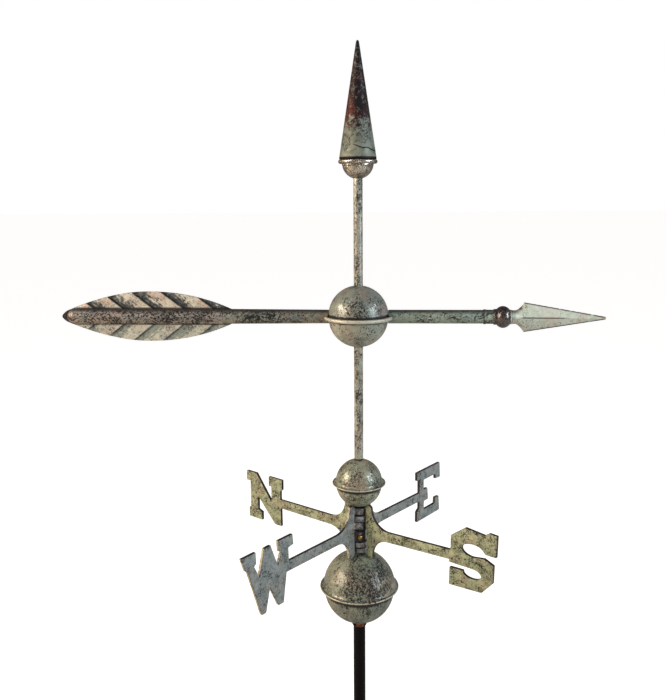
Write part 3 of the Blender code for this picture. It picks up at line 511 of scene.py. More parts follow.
def feather_patina():
    """The barbs are cream and pink on their high side and blue-grey in the valleys, darkened at each step, with
    painted shade along the top rim and along the quill.
    """
    cream, pink, valley, hollow = (0.74, 0.68, 0.54), (0.68, 0.50, 0.40), (0.19, 0.205, 0.195), (0.032, 0.035, 0.037)
    leaf, moss = (0.60, 0.60, 0.49), (0.33, 0.355, 0.30)
    material, tree, shader = new_material("feather_patina", cream)
    place = object_place(tree)
    marks = marks_on(place, 34.0, 330.0, 0.46, 190.0, 0.25, 0.3)
    high, steep, outward, station = (add_node(tree, "ShaderNodeAttribute", out="Fac", attribute_name=label)
                                     for label in ("barb_height", "barb_step", "outward", "station"))
    z = split(place)[2]
    upper_half = between(z, Z_ARROW - 0.004, Z_ARROW + 0.004)
    crest = blended(marks["Warmth"], cream, pink)
    crest = blended((1.0 - upper_half) * 0.65, crest, leaf)
    crest = blended(marks["Blotch"] * 0.30, crest, valley)
    # streaks that run out along the barbs
    along = add_node(tree, "ShaderNodeCombineXYZ", {0: station, 1: outward * 0.006, 2: upper_half})
    streak = (noise(along, 210.0, 2.0, 0.6) - 0.5) * 1.1
    wander = (noise(place, 70.0, 3.0) - 0.5) * 0.5
    mottle = noise(place, 280.0, 3.0, 0.65) - 0.5
    level = (high + streak) + (wander + mottle)
    upper_low = blended(between(level, 0.12, 0.52), hollow, valley)
    under_low = blended(between(level, -0.1, 0.30), valley, moss)
    low = blended(upper_half, under_low, upper_low)
    colour = blended(between(level, 0.42, 0.62), low, crest)
    # darkening at the steps, most of it near the upper rim; painted shade along the top-facing rim, and in the corners
    # along the quill where the web meets it
    near_rim = outward * upper_half * 0.55 + 0.35
    step_dark = steep * near_rim * (between(noise(place, 120.0, 3.0, 0.6), 0.42, 0.58) + 0.35)
    rim_painted_shade = use_group(tree, LIGHT_SIDES)["Top Shade"] * 0.95 * between(noise(place, 38.0, 3.0), 0.36, 0.50)
    off_quill = abs(z - Z_ARROW)
    above = 1.0 - between(off_quill, 0.0112, 0.0134)
    below = 1.0 - between(off_quill, 0.0104, 0.0118)
    corner = add_node(tree, "ShaderNodeMix", {0: upper_half, 2: below, 3: above})
    shade = larger(marks["Fleck"] * 0.78, step_dark, clamp=True)
    shade = larger(larger(shade, rim_painted_shade), corner * 0.94)
    fill(shader, {
        "Base Color": blended(shade, colour, BLACK), "Roughness": ranged(marks["Cloud"], 0.38, 0.66),
        "Metallic": calc("ADD", marks["Bare"] * 0.5, 0.18, clamp=True), "Coat Weight": 0.12,
        "Coat Roughness": 0.2, "Normal": bumped(marks["Height"], 0.8, 0.00025)})
    return material


def bright_copper(name, tint, stain, cover, gloss):
    """Tarnished copper, still half bright, spotted with dark oxide."""
    material, tree, shader = new_material(name, tint)
    marks = marks_on(object_place(tree), 60.0, 420.0, cover, 220.0, 0.3, 0.3)
    colour = blended(marks["Fleck"] * 0.85, blended(marks["Cloud"], tint, stain), BLACK)
    fill(shader, {
        "Base Color": colour, "Roughness": ranged(marks["Cloud"], gloss, gloss + 0.22),
        "Metallic": calc("SUBTRACT", 1.0, marks["Fleck"] * 0.7, clamp=True),
        "Normal": bumped(marks["Height"], 0.6, 0.0002)})
    return material


def cone_patina(low, high):
    """Green-grey at the foot, and soot with red copper through it towards the tip; the red is kept to the left side,
    where it is also painted warm light.
    """
    material, tree, shader = new_material("cone_patina", (0.2, 0.2, 0.17))
    place = object_place(tree)
    x, _, z = split(place)
    marks = marks_on(place, 26.0, 330.0, 0.38, 120.0, 0.4, 0.2)
    climb = ranged(z, 0.0, 1.0, low, high) + (noise(place, 85.0, 5.0, 0.7) - 0.5) * 1.1
    green = blended(marks["Cloud"], (0.27, 0.285, 0.225), (0.17, 0.19, 0.16))
    green = blended(marks["Blotch"] * 0.5, green, (0.075, 0.08, 0.07))
    sooty = blended(marks["Warmth"], (0.017, 0.012, 0.014), (0.085, 0.026, 0.020))
    # red copper through the soot, kept to the left side: partly the copper's own colour, partly painted warm light
    # from the left
    sooty = blended((1.0 - between(x, -0.010, -0.001)) * 0.55 * marks["Cloud"], sooty, (0.16, 0.042, 0.028))
    sooty = blended(crisp_flecks(fleck_noise(place, 260.0), 0.55) * 0.75, sooty, (0.17, 0.155, 0.145))
    colour = blended(between(climb, 0.24, 0.36), green, sooty)
    fill(shader, {
        "Base Color": blended(marks["Fleck"] * 0.88, colour, BLACK),
        "Roughness": ranged(marks["Cloud"], 0.42, 0.62), "Specular IOR Level": 0.12,
        "Metallic": calc("ADD", marks["Warmth"] * 0.25, 0.1, clamp=True),
        "Normal": bumped(marks["Height"], 0.8, 0.0003)})
    return material


def black_steel():
    material, tree, shader = new_material("black_steel", (0.02, 0.02, 0.022))
    place = object_place(tree)
    drawn = add_node(tree, "ShaderNodeMapping", {"Vector": place, "Scale": (1.0, 1.0, 0.06)})
    lines = noise(drawn, 420.0, 3.0, 0.6)
    dust = between(noise(place, 70.0, 4.0, 0.65), 0.45, 0.75)
    fill(shader, {
        "Base Color": blended(dust, (0.0030, 0.0022, 0.0026), (0.0070, 0.0052, 0.0060)),
        "Roughness": ranged(lines, 0.26, 0.42, 0.3, 0.7), "Specular IOR Level": 0.10,
        "Normal": bumped(lines, 0.4, 0.0001)})
    return material


GREY_GREEN = (0.370, 0.392, 0.290)
DEEP_GREEN = (0.225, 0.250, 0.200)
TAN = (0.400, 0.300, 0.210)
BRIM_HIGHLIGHT = (0.56, 0.53, 0.40)
# how far from the mast's axis the arms take painted shade
SHADED_CORE_R = 0.0136
# The rings turned on each half of the hub, as shares of its height, and the painted shade in the gaps under them:
# height of each gap, how far the painted shade reaches below it, and how far above
UPPER_RINGS = (0.68, 0.65, 0.36)
LOWER_RINGS = (0.52, 0.49, 0.24, 0.21)
HUB_GAP_SHADE = ([(Z_HUB_JOINT + GAP + HUB_NS_H * share + 0.0009, 0.0022, 0.0006) for share in UPPER_RINGS]
            + [(Z_HUB_FOOT + HUB_EW_H * share + 0.0006, 0.0016, 0.0006) for share in LOWER_RINGS]
            + [(Z_HUB_JOINT + 0.0008, 0.0022, 0.0006), (Z_HUB_TOP + 0.001, 0.0030, 0.001)])

# Each finish, with its pale green, its deep green and its warm stains
FINISHES = {
    "large_upper": patina("large_upper_patina", GREY_GREEN, DEEP_GREEN, TAN, fleck=0.58, worm=0.50, bare=0.16,
                          cloud=16.0, fleck_scale=380.0, worm_scale=160.0, coat=0.45, gloss=(0.30, 0.52),
                          seam_and_shade_bands=((Z_LARGE_JOINT + LARGE_BRIM_H * 0.9, 0.0018, 0.0006),)),
    # the band under the large brim is painted shade
    "large_lower": patina("large_lower_patina", (0.31, 0.32, 0.235), (0.19, 0.21, 0.175), (0.35, 0.28, 0.165),
                          fleck=0.54, worm=0.25, bare=0.15, cloud=20.0, fleck_scale=360.0, stretch=(1.0, 1.0, 0.45),
                          coat=0.3, gloss=(0.34, 0.58), seam_and_shade_bands=((Z_LARGE_JOINT, 0.0086, 0.002),)),
    "small_upper": patina("small_upper_patina", (0.385, 0.395, 0.29), (0.26, 0.29, 0.215), TAN, fleck=0.58,
                          worm=0.1, bare=0.14, cloud=26.0, fleck_scale=500.0, coat=0.45, gloss=(0.28, 0.48),
                          blotch=0.4, seam_and_shade_bands=((Z_SMALL_JOINT + SMALL_BRIM_H * 0.9, 0.0015, 0.0005),)),
    # the first band, under the small brim, is painted shade
    "small_lower": patina("small_lower_patina", (0.45, 0.47, 0.325), (0.30, 0.33, 0.235), TAN, fleck=0.52, worm=0.3,
                          bare=0.18, cloud=26.0, fleck_scale=360.0, coat=0.3,
                          seam_and_shade_bands=((Z_SMALL_JOINT, 0.0070, 0.002), (foot("small_globe_lower") + 0.003, 0.004, 0.002))),
    "ball_upper": patina("ball_upper_patina", (0.315, 0.332, 0.280), (0.225, 0.25, 0.215), (0.40, 0.29, 0.235),
                         fleck=0.46, worm=0.25, bare=0.2, cloud=22.0, fleck_scale=330.0, coat=0.35,
                         gloss=(0.30, 0.5), blotch=0.35, seam_and_shade_bands=((Z_BALL_JOINT + 0.0045, 0.0045, 0.0012),)),
    "ball_lower": patina("ball_lower_patina", (0.46, 0.455, 0.36), (0.33, 0.345, 0.275), (0.47, 0.36, 0.27),
                         fleck=0.44, worm=0.40, bare=0.2, cloud=22.0, fleck_scale=360.0, coat=0.35,
                         gloss=(0.30, 0.5), blotch=0.4, seam_and_shade_bands=((Z_BALL_JOINT - 0.0022, 0.0030, 0.0008),)),
    "tube": patina("tube_patina", (0.52, 0.50, 0.41), (0.36, 0.355, 0.29), (0.48, 0.37, 0.28), fleck=0.54, worm=0.5,
                   bare=0.3, cloud=40.0, fleck_scale=430.0, stretch=(1.0, 1.0, 0.6)),
    # the shafts and the quill: painted shade on their top sides and warm painted floor light on their undersides
    "shaft_dark": patina("tail_shaft_patina", (0.32, 0.345, 0.30), (0.20, 0.225, 0.20), (0.34, 0.255, 0.18),
                         fleck=0.52, worm=0.5, bare=0.2, cloud=30.0, fleck_scale=340.0, stretch=(0.7, 1.0, 1.0),
                         upper=0.90, lower=(0.38, 0.31, 0.22)),
    "shaft_green": patina("point_shaft_patina", (0.44, 0.515, 0.42), (0.29, 0.355, 0.295), (0.33, 0.32, 0.22),
                          fleck=0.50, worm=0.45, bare=0.1, cloud=30.0, fleck_scale=340.0, stretch=(0.7, 1.0, 1.0),
                          upper=0.90, lower=(0.33, 0.36, 0.25)),
    "quill": patina("quill_patina", (0.41, 0.375, 0.325), (0.28, 0.265, 0.245), (0.45, 0.305, 0.225), fleck=0.60,
                    worm=0.65, bare=0.35, cloud=30.0, fleck_scale=340.0, stretch=(0.7, 1.0, 1.0), upper=0.90,
                    lower=(0.74, 0.55, 0.40)),
    # the head and the socket take painted shade on their top-facing sides
    "head": patina("arrowhead_patina", (0.76, 0.78, 0.66), (0.60, 0.65, 0.53), (0.66, 0.57, 0.45), fleck=0.30,
                   worm=0.2, bare=0.08, cloud=24.0, fleck_scale=300.0, upper=0.7, coat=0.12, blotch=0.2),
    "socket": patina("socket_patina", (0.15, 0.14, 0.13), (0.050, 0.046, 0.046), (0.20, 0.11, 0.09), fleck=0.60,
                     worm=0.3, bare=0.35, cloud=60.0, upper=0.5, metal=0.7, gloss=(0.14, 0.30), coat=0.7),
    # one patina painted in two copies: yellow-green on the north-south casting as lit by the warm light, blue-grey on
    # the east-west casting as lit by the cool light
    "north_south": patina("north_south_patina", (0.470, 0.505, 0.315), (0.32, 0.355, 0.225), (0.45, 0.38, 0.26),
                          fleck=0.50, worm=0.6, bare=0.16, cloud=40.0, fleck_scale=380.0, coat=0.12,
                          gloss=(0.4, 0.66), core=SHADED_CORE_R),
    "east_west": patina("east_west_patina", (0.36, 0.372, 0.35), (0.255, 0.285, 0.265), (0.35, 0.325, 0.28),
                        fleck=0.42, worm=0.35, bare=0.12, cloud=30.0, fleck_scale=400.0, coat=0.12,
                        gloss=(0.4, 0.66), blotch=0.4, core=SHADED_CORE_R),
    # the plates' edges: near black, black patina and painted shade together, with painted shade on top-facing edges
    # and painted light on edges facing left
    "cast_edge": patina("cast_edge_patina_and_shade", (0.050, 0.046, 0.036), (0.022, 0.020, 0.017), (0.075, 0.050, 0.035),
                        fleck=0.45, worm=0.3, bare=0.1, cloud=60.0, upper=0.95, coat=0.1, metal=0.1,
                        left_lit_colour=(0.56, 0.52, 0.39)),
    # the hub's dark bands are painted shade in the gaps between its rings and under the small globe
    "hub": patina("hub_patina", (0.46, 0.45, 0.45), (0.27, 0.265, 0.27), (0.38, 0.30, 0.27), fleck=0.50, worm=0.4,
                  bare=0.1, cloud=90.0, fleck_scale=340.0, coat=0.25, metal=0.3, seam_and_shade_bands=HUB_GAP_SHADE),
    "boss": patina("boss_patina", (0.085, 0.080, 0.080), (0.035, 0.032, 0.033), (0.10, 0.07, 0.06), fleck=0.5,
                   worm=0.3, bare=0.2, cloud=90.0, coat=0.3, metal=0.4),
    "feather": feather_patina(),
    "collar": bright_copper("collar_copper", (0.34, 0.125, 0.06), (0.14, 0.055, 0.034), 0.66, 0.30),
    "cup": bright_copper("cup_copper", (0.80, 0.70, 0.59), (0.42, 0.37, 0.29), 0.52, 0.12),
    "cone": cone_patina(foot("finial_cone"), top("finial_cone")),
    "brass": bright_copper("screw_brass", (0.72, 0.46, 0.13), (0.50, 0.30, 0.09), 0.12, 0.22),
    "rod": black_steel(),
}

for finish, colour, mask in (
        ("ball_upper", BLACK, crowded((-0.001, Z_BALL_JOINT + 0.013), 0.010, 0.022)),
        ("ball_lower", BLACK, crowded((0.014, Z_BALL_JOINT - 0.014), 0.004, 0.018, 380.0, 0.53)),
        ("large_upper", BLACK, crowded((0.012, Z_LARGE_JOINT + 0.014), 0.018, 0.042, 360.0, 0.50)),
        ("shaft_dark", BLACK, crowded((-0.128, Z_ARROW), 0.022, 0.050)),
        ("quill", BLACK, crowded((-0.275, Z_ARROW), 0.075, 0.115, 330.0, 0.52)),
        # painted highlights along the outer edges of the brims and of the ball's bead
        ("large_upper", BRIM_HIGHLIGHT, rim_highlight(LARGE_BRIM_R, 0.0012)),
        ("small_upper", BRIM_HIGHLIGHT, rim_highlight(SMALL_BRIM_R, 0.0010)),
        ("ball_lower", (0.62, 0.58, 0.46), rim_highlight(BEAD_RING_R + BEAD_R, 0.0022)),
        ("head", (0.045, 0.024, 0.018), head_lines),
        ("cone", BLACK, cone_crack),
        ("cone", BLACK, cone_foot)):
    cover_with(finish, colour, mask)


# Meshes
def arc(centre, radii, start, end, steps):
    points = []
    for i in range(steps + 1):
        angle = math.radians(start + (end - start) * i / steps)
        points.append((centre[0] + radii[0] * math.cos(angle), centre[1] + radii[1] * math.sin(angle)))
    return points


def angle_at_radius(radius, sphere_radius):
    return math.degrees(math.acos(radius / sphere_radius))


def rounded(outline, radius, share, straight, steps, kept=()):
    """An outline with each sharp corner rounded, over no more than a share of the sides that meet there."""
    points = [Vector(point) for point in outline]
    result = []
    for i, here in enumerate(points):
        back, ahead = points[i - 1] - here, points[(i + 1) % len(points)] - here
        if i in kept or min(back.length, ahead.length) < 1e-7 or back.angle(ahead) > math.radians(straight):
            result.append(tuple(here))
            continue
        size = min(radius, back.length * share, ahead.length * share)
        first, last = here + back.normalized() * size, here + ahead.normalized() * size
        for step in range(steps + 1):
            t = step / steps
            result.append(tuple(first * (1 - t) ** 2 + here * 2 * t * (1 - t) + last * t ** 2))
    return result


def eased(profile, radius, closed=False):
    """A turned profile with its corners rounded a little, so that they catch light."""
    ends = () if closed else (0, len(profile) - 1)
    kept = [i for i, point in enumerate(profile) if point[0] < 1e-6 or i in ends]
    return rounded(profile, radius, 0.4, 150, 3, kept)


def turned_mesh(profile, sides=SIDES, closed=False, matrix=None):
    """A bmesh turned round Z from a profile that runs down its outer side."""
    skin = bmesh.new()
    rings = []
    for radius, height in profile:
        if radius < 1e-7:
            rings.append([skin.verts.new((0.0, 0.0, height))])
            continue
        ring = []
        for i in range(sides):
            angle = math.tau * i / sides
            ring.append(skin.verts.new((radius * math.cos(angle), radius * math.sin(angle), height)))
        rings.append(ring)
    pairs = list(zip(rings, rings[1:]))
    if closed:
        pairs.append((rings[-1], rings[0]))
    for upper, lower in pairs:
        for i in range(sides):
            j = (i + 1) % sides
            corners = [upper[i % len(upper)], lower[i % len(lower)], lower[j % len(lower)], upper[j % len(upper)]]
            corners = [v for k, v in enumerate(corners) if v is not corners[k - 1]]
            if len(corners) > 2:
                skin.faces.new(corners)
    if matrix:
        skin.transform(matrix)
    bmesh.ops.recalc_face_normals(skin, faces=skin.faces)
    return skin


def join_rows(skin, rows):
    """Faces between rows of points that each run once round the piece, and one over each end."""
    for row, after in zip(rows, rows[1:]):
        for i in range(len(row)):
            j = (i + 1) % len(row)
            skin.faces.new((row[i], row[j], after[j], after[i]))
    skin.faces.new(rows[0])
    skin.faces.new(list(reversed(rows[-1])))


def box_at(size, middle):
    """A plain block."""
    skin = bmesh.new()
    bmesh.ops.create_cube(skin, size=1.0)
    bmesh.ops.scale(skin, vec=Vector(size), verts=skin.verts)
    bmesh.ops.translate(skin, vec=Vector(middle), verts=skin.verts)
    return skin


def turn_about(axis, degrees):
    return Matrix.Rotation(math.radians(degrees), 4, axis)


def along_arrow(direction):
    """Turns a piece made round Z to lie along the arrow: 1 towards the point, -1 towards the tail."""
    return Matrix.Translation((0, 0, Z_ARROW)) @ turn_about("Y", 90 * direction)


def hung_point():
    """The point hangs a little from the end of its shaft."""
    hinge = Matrix.Translation((POINT_SHAFT_REACH, 0, Z_ARROW))
    return hinge @ turn_about("Y", POINT_DROOP) @ hinge.inverted()


def new_item(name, data):
    item = bpy.data.objects.new(name, data)
    bpy.context.scene.collection.objects.link(item)
    return item


def mesh_of(skin, name):
    mesh = bpy.data.meshes.new(name)
    skin.to_mesh(mesh)
    skin.free()
    return mesh


def piece_from_mesh(name, mesh, sharp=35.0):
    """A piece at the origin, with its smooth faces."""
    mesh.name = name
    mesh.shade_smooth()
    mesh.set_sharp_from_angle(angle=math.radians(sharp))
    return new_item(name, mesh)


def new_piece(name, skin, finishes, sharp=35.0):
    mesh = mesh_of(skin, name)
    for finish in finishes:
        mesh.materials.append(FINISHES[finish])
    return piece_from_mesh(name, mesh, sharp)


def dress(piece, body, slot, *nodes):
    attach(piece, body)
    if nodes:
        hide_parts(*nodes)
    return piece


def turned(name, profile, finish, body, slot, nodes, sides=SIDES, closed=False, matrix=None, ease=0.0003):
    skin = turned_mesh(eased(profile, ease, closed), sides, closed, matrix)
    return dress(new_piece(name, skin, (finish,)), body, slot, *nodes)


def applied(item):
    """The plain mesh of an object once its modifiers have acted."""
    bpy.context.view_layer.update()
    return bpy.data.meshes.new_from_object(item.evaluated_get(bpy.context.evaluated_depsgraph_get()))


def settled(item):
    """The plain mesh of an object, which then goes."""
    mesh = applied(item)
    mesh.transform(item.matrix_world)
    bpy.data.objects.remove(item)
    return mesh


def cut(item, cutter_skin):
    """Cuts one closed shape out of a piece."""
    cutter = new_item("cutter", mesh_of(cutter_skin, "cutter"))
    step = item.modifiers.new("Cut", "BOOLEAN")
    step.operation = "DIFFERENCE"
    step.solver = "EXACT"
    step.object = cutter
    result = applied(item)
    item.modifiers.clear()
    item.data = result
    bpy.data.objects.remove(cutter)


# Geometry Nodes
def new_tree(name, inputs):
    group, given, end, keys = new_group(name, inputs, (("Geometry", "Geometry"),), "GeometryNodeTree")
    group.is_modifier = True
    return group, given, end, keys


def end_tree(geometry, given, end):
    """Every tree ends in plain faces with their material."""
    real = add_node(geometry.tree, "GeometryNodeRealizeInstances", {0: geometry})
    covered = add_node(geometry.tree, "GeometryNodeSetMaterial", {"Geometry": real, "Material": given["Material"]})
    fill(end, {0: covered})


def screw_ring_tree():
    """Headless screws let into a collar: one for each point, a set turn apart, each pointing at the axis."""
    tree, given, end, keys = new_tree("screw_ring", (
        ("Count", "Int", 2), ("First Turn", "Float", 0.0), ("Turn Between", "Float", 90.0),
        ("Reach", "Float", 0.01), ("Height", "Float", 0.0), ("Screw", "Object", None),
        ("Material", "Material", None)))
    points = add_node(tree, "GeometryNodeMeshLine", {"Count": given["Count"], "Offset": (0.0, 0.0, 0.0)})
    index = add_node(tree, "GeometryNodeInputIndex")
    turn = calc("RADIANS", given["First Turn"] + index * given["Turn Between"])
    where = add_node(tree, "ShaderNodeCombineXYZ", {
        0: calc("COSINE", turn) * given["Reach"], 1: calc("SINE", turn) * given["Reach"], 2: given["Height"]})
    spread = add_node(tree, "GeometryNodeSetPosition", {"Geometry": points, "Position": where})
    facing = add_node(tree, "ShaderNodeCombineXYZ", {2: turn})
    screw = add_node(tree, "GeometryNodeObjectInfo", {"Object": given["Screw"]}, out="Geometry")
    copies = add_node(tree, "GeometryNodeInstanceOnPoints", {"Points": spread, "Instance": screw, "Rotation": facing})
    end_tree(copies, given, end)
    return tree, keys


def feather_barb_tree():
    """Raises slanting barbs on a flat feather: a slow rise, then a steep step down, over and over."""
    tree, given, end, keys = new_tree("feather_barbs", (
        ("Geometry", "Geometry", None), ("Crest", "Float", 0.35), ("Pitch", "Float", 0.04), ("Step", "Float", 0.001),
        ("Rise", "Float", 0.0026), ("Rim Share", "Float", 0.45), ("Tip Run", "Float", 0.047),
        ("Root", "Float", 0.166), ("Material", "Material", None)))
    station, out_share, side = (
        add_node(tree, "GeometryNodeInputNamedAttribute", {"Name": label}, out="Attribute", data_type="FLOAT")
        for label in ("station", "outward", "side"))
    run = given["Crest"] - station
    past = calc("WRAP", run, given["Pitch"], 0.0)
    slope = calc("DIVIDE", past - given["Step"], given["Pitch"] - given["Step"], clamp=True)
    falling = calc("SUBTRACT", 1.0, past / given["Step"], clamp=True)
    sawtooth = larger(slope ** 0.8, falling)
    beyond = calc("DIVIDE", -run, given["Tip Run"], clamp=True)
    is_tip = calc("LESS_THAN", run, 0.0)
    level = add_node(tree, "ShaderNodeMix", {0: is_tip, 2: sawtooth, 3: 1.0 - beyond * 0.8})
    level = level * between(station, given["Root"], given["Root"] + 0.012)
    thinned = 1.0 - out_share ** 4.0 * (1.0 - given["Rim Share"])
    offset = add_node(tree, "ShaderNodeCombineXYZ", {1: level * thinned * given["Rise"] * side})
    raised = add_node(tree, "GeometryNodeSetPosition", {"Geometry": given["Geometry"], "Offset": offset})
    on_step = calc("LESS_THAN", past, given["Step"] * 1.6) * calc("GREATER_THAN", run, -0.0001)
    for label, value in (("barb_height", level), ("barb_step", on_step)):
        raised = add_node(tree, "GeometryNodeStoreNamedAttribute", {"Geometry": raised, "Name": label, "Value": value},
                          data_type="FLOAT", domain="POINT")
    end_tree(raised, given, end)
    return tree, keys


SCREW_TREE = screw_ring_tree()
BARB_TREE = feather_barb_tree()


def run_tree(name, item, tree_and_keys, values):
    """Runs a Geometry Nodes tree on an object and returns its faces as a plain mesh."""
    tree, keys = tree_and_keys
    bpy.context.scene.collection.objects.link(item)
    modifier = item.modifiers.new(name, "NODES")
    modifier.node_group = tree
    for label, value in values.items():
        modifier[keys[label]] = value
    return settled(item)


# Rod and collar
def rod():
    shoulder = Z_LARGE_JOINT - GAP
    end = top("mast_rod")
    profile = [(0.0, end), (PIN_D / 2 - PIN_TIP_IN, end), (PIN_D / 2, end - PIN_TIP_H), (PIN_D / 2, shoulder)]
    profile += [(ROD_D / 2, shoulder), (ROD_D / 2, 0.0), (0.0, 0.0)]
    turned("rod", profile, "rod", "mast", "black_steel", ("mast_rod",), SIDES_SLIM)


def collar():
    low, high = foot("stop_collar"), top("stop_collar")
    bore, outer = ROD_D / 2 + GAP, COLLAR_D / 2
    profile = [(bore, high), (outer, high), (outer, low + COLLAR_EDGE), (outer - COLLAR_EDGE, low), (bore, low)]
    skin = turned_mesh(eased(profile, 0.0005, True), SIDES, True)
    body = new_piece("collar_ring", skin, ("collar",))
    middle = (low + high) / 2
    for turn in COLLAR_SCREW_TURNS:
        lie = Matrix.Translation((0, 0, middle)) @ turn_about("Z", turn - 90) @ turn_about("Y", 90)
        hole = turned_mesh([(0.0, outer * 2), (COLLAR_SCREW_D / 2 + GAP, outer * 2),
                            (COLLAR_SCREW_D / 2 + GAP, 0.0), (0.0, 0.0)], 32, matrix=lie)
        cut(body, hole)
    dress(piece_from_mesh("collar_ring", settled(body)), "mast", "copper", "stop_collar")
    # each screw stands a little proud of the collar, with a socket in its end
    radius, socket = COLLAR_SCREW_D / 2, COLLAR_SCREW_D * 0.27
    reach = outer + COLLAR_SCREW_PROUD
    long = reach - bore
    screw_profile = [(0.0, -long * 0.45), (socket, -long * 0.45), (socket, 0.0), (radius, 0.0), (radius, -long),
                     (0.0, -long)]
    screw_skin = turned_mesh(eased(screw_profile, 0.0003), 24, matrix=turn_about("Y", 90))
    screw = new_piece("collar_screw_pattern", screw_skin, ("rod",))
    blank = bpy.data.objects.new("collar_screws", bpy.data.meshes.new("collar_screws"))
    mesh = run_tree("Screws", blank, SCREW_TREE, {
        "Count": len(COLLAR_SCREW_TURNS), "First Turn": COLLAR_SCREW_TURNS[0] - 90,
        "Turn Between": COLLAR_SCREW_TURNS[1] - COLLAR_SCREW_TURNS[0], "Reach": reach,
        "Height": middle, "Screw": screw, "Material": FINISHES["rod"]})
    bpy.data.objects.remove(screw)
    dress(piece_from_mesh("collar_screws", mesh), "mast", "black_steel", "collar_screw_1", "collar_screw_2")


# Globes
def globe_lower(name, node, radius, joint, bore, finish):
    top_edge = joint - GAP
    low = angle_at_radius(bore, radius)
    profile = [(bore, top_edge), (radius, top_edge)]
    profile += arc((0.0, top_edge - LOWER_BAND), (radius, radius), 0.0, -low, ARC_STEPS)
    turned(name, profile, finish, "mast", "patina", (node,), closed=True)


def globe_upper(name, node, radius, brim_radius, brim_h, band, joint, bore, finish):
    centre = joint + band
    high = angle_at_radius(bore, radius)
    start = 9.0
    neck = (radius * math.cos(math.radians(start)), centre + radius * math.sin(math.radians(start)))
    profile = arc((0.0, centre), (radius, radius), high, start, ARC_STEPS)
    foot_at = (brim_radius - brim_h / 2, joint + brim_h)
    span = (foot_at[0] - neck[0], neck[1] - foot_at[1])
    for t in range(10, 81, 10):
        turn = math.radians(t)
        profile.append((foot_at[0] - span[0] * math.cos(turn), neck[1] - span[1] * math.sin(turn)))
    profile += arc((brim_radius - brim_h / 2, joint + brim_h / 2), (brim_h / 2, brim_h / 2), 90, -90, 10)
    profile += [(radius - 0.002, joint), (bore, joint)]
    turned(name, profile, finish, "mast", "patina", (node,), closed=True)


def globes():
    rod_bore = ROD_D / 2 + GAP
    pin_bore = PIN_D / 2 + GAP
    globe_lower("large_bowl", "large_globe_lower", LARGE_LOWER_R, Z_LARGE_JOINT, rod_bore, "large_lower")
    globe_upper("large_dome", "large_globe_upper", LARGE_GLOBE_R, LARGE_BRIM_R, LARGE_BRIM_H, LARGE_BAND,
                Z_LARGE_JOINT, pin_bore, "large_upper")
    globe_lower("small_bowl", "small_globe_lower", SMALL_LOWER_R, Z_SMALL_JOINT, pin_bore, "small_lower")
    globe_upper("small_dome", "small_globe_upper", SMALL_GLOBE_R, SMALL_BRIM_R, SMALL_BRIM_H, SMALL_BAND,
                Z_SMALL_JOINT, pin_bore, "small_upper")


# Compass letters: their corners as shares of each letter's width, outwards from the mast, and of its height
def letter_north():
    return [(0.049, 0.254), (0.0, 0.291), (0.0, 0.5), (0.368, 0.5), (0.368, 0.299), (0.298, 0.295),
            (0.298, -0.04), (0.719, 0.5), (1.0, 0.5), (1.0, 0.295), (0.893, 0.295), (0.893, -0.295),
            (0.936, -0.295), (0.936, -0.5), (0.569, -0.5), (0.569, -0.325), (0.678, -0.290),
            (0.678, -0.02), (0.655, -0.02), (0.211, -0.5), (0.034, -0.5)]


def letter_east():
    return [(0.101, 0.340), (0.0, 0.340), (0.0, 0.5), (0.977, 0.5), (1.0, 0.192), (0.796, 0.199),
            (0.796, 0.297), (0.282, 0.297), (0.282, 0.098), (0.441, 0.098), (0.471, -0.136),
            (0.290, -0.143), (0.290, -0.313), (0.773, -0.313), (0.789, -0.192), (0.944, -0.199),
            (0.977, -0.5), (0.0, -0.5), (0.0, -0.296), (0.101, -0.240)]


def letter_west():
    return [(0.103, 0.319), (0.0, 0.338), (0.016, 0.5), (0.306, 0.5), (0.290, 0.332), (0.236, 0.332),
            (0.316, 0.125), (0.455, 0.494), (0.577, 0.487), (0.672, 0.096), (0.768, 0.293),
            (0.730, 0.328), (0.736, 0.497), (1.0, 0.497), (0.925, 0.284), (0.894, 0.284),
            (0.639, -0.5), (0.559, -0.5), (0.475, -0.142), (0.310, -0.5), (0.211, -0.5)]


def letter_south():
    upper_slit = arc((0.505, 0.153), (0.235, 0.100), 15, 270, 20)
    lower_slit = arc((0.490, -0.216), (0.190, 0.078), 180, 450, 20)
    return ([(0.035, 0.305), (0.341, 0.485), (0.741, 0.448), (0.835, 0.5), (1.0, 0.491), (0.984, 0.152),
             (0.772, 0.152)] + upper_slit + [(0.741, 0.081), (0.934, 0.013), (0.920, -0.266),
             (0.694, -0.470), (0.0, -0.5), (0.011, -0.212), (0.297, -0.204)] + lower_slit
            + [(0.011, -0.136), (0.0, -0.102)])


LETTERS = {"north": letter_north, "east": letter_east, "south": letter_south, "west": letter_west}
# Where the arm's upper and lower edges meet the letter, as shares of the letter's width
JOIN = {"north": (0.049, 0.042), "east": (0.101, 0.101), "south": (0.028, 0.014), "west": (0.095, 0.145)}
SOFT_CORNERS = {"north": 0.0004, "east": 0.0004, "south": 0.0006, "west": 0.0004}


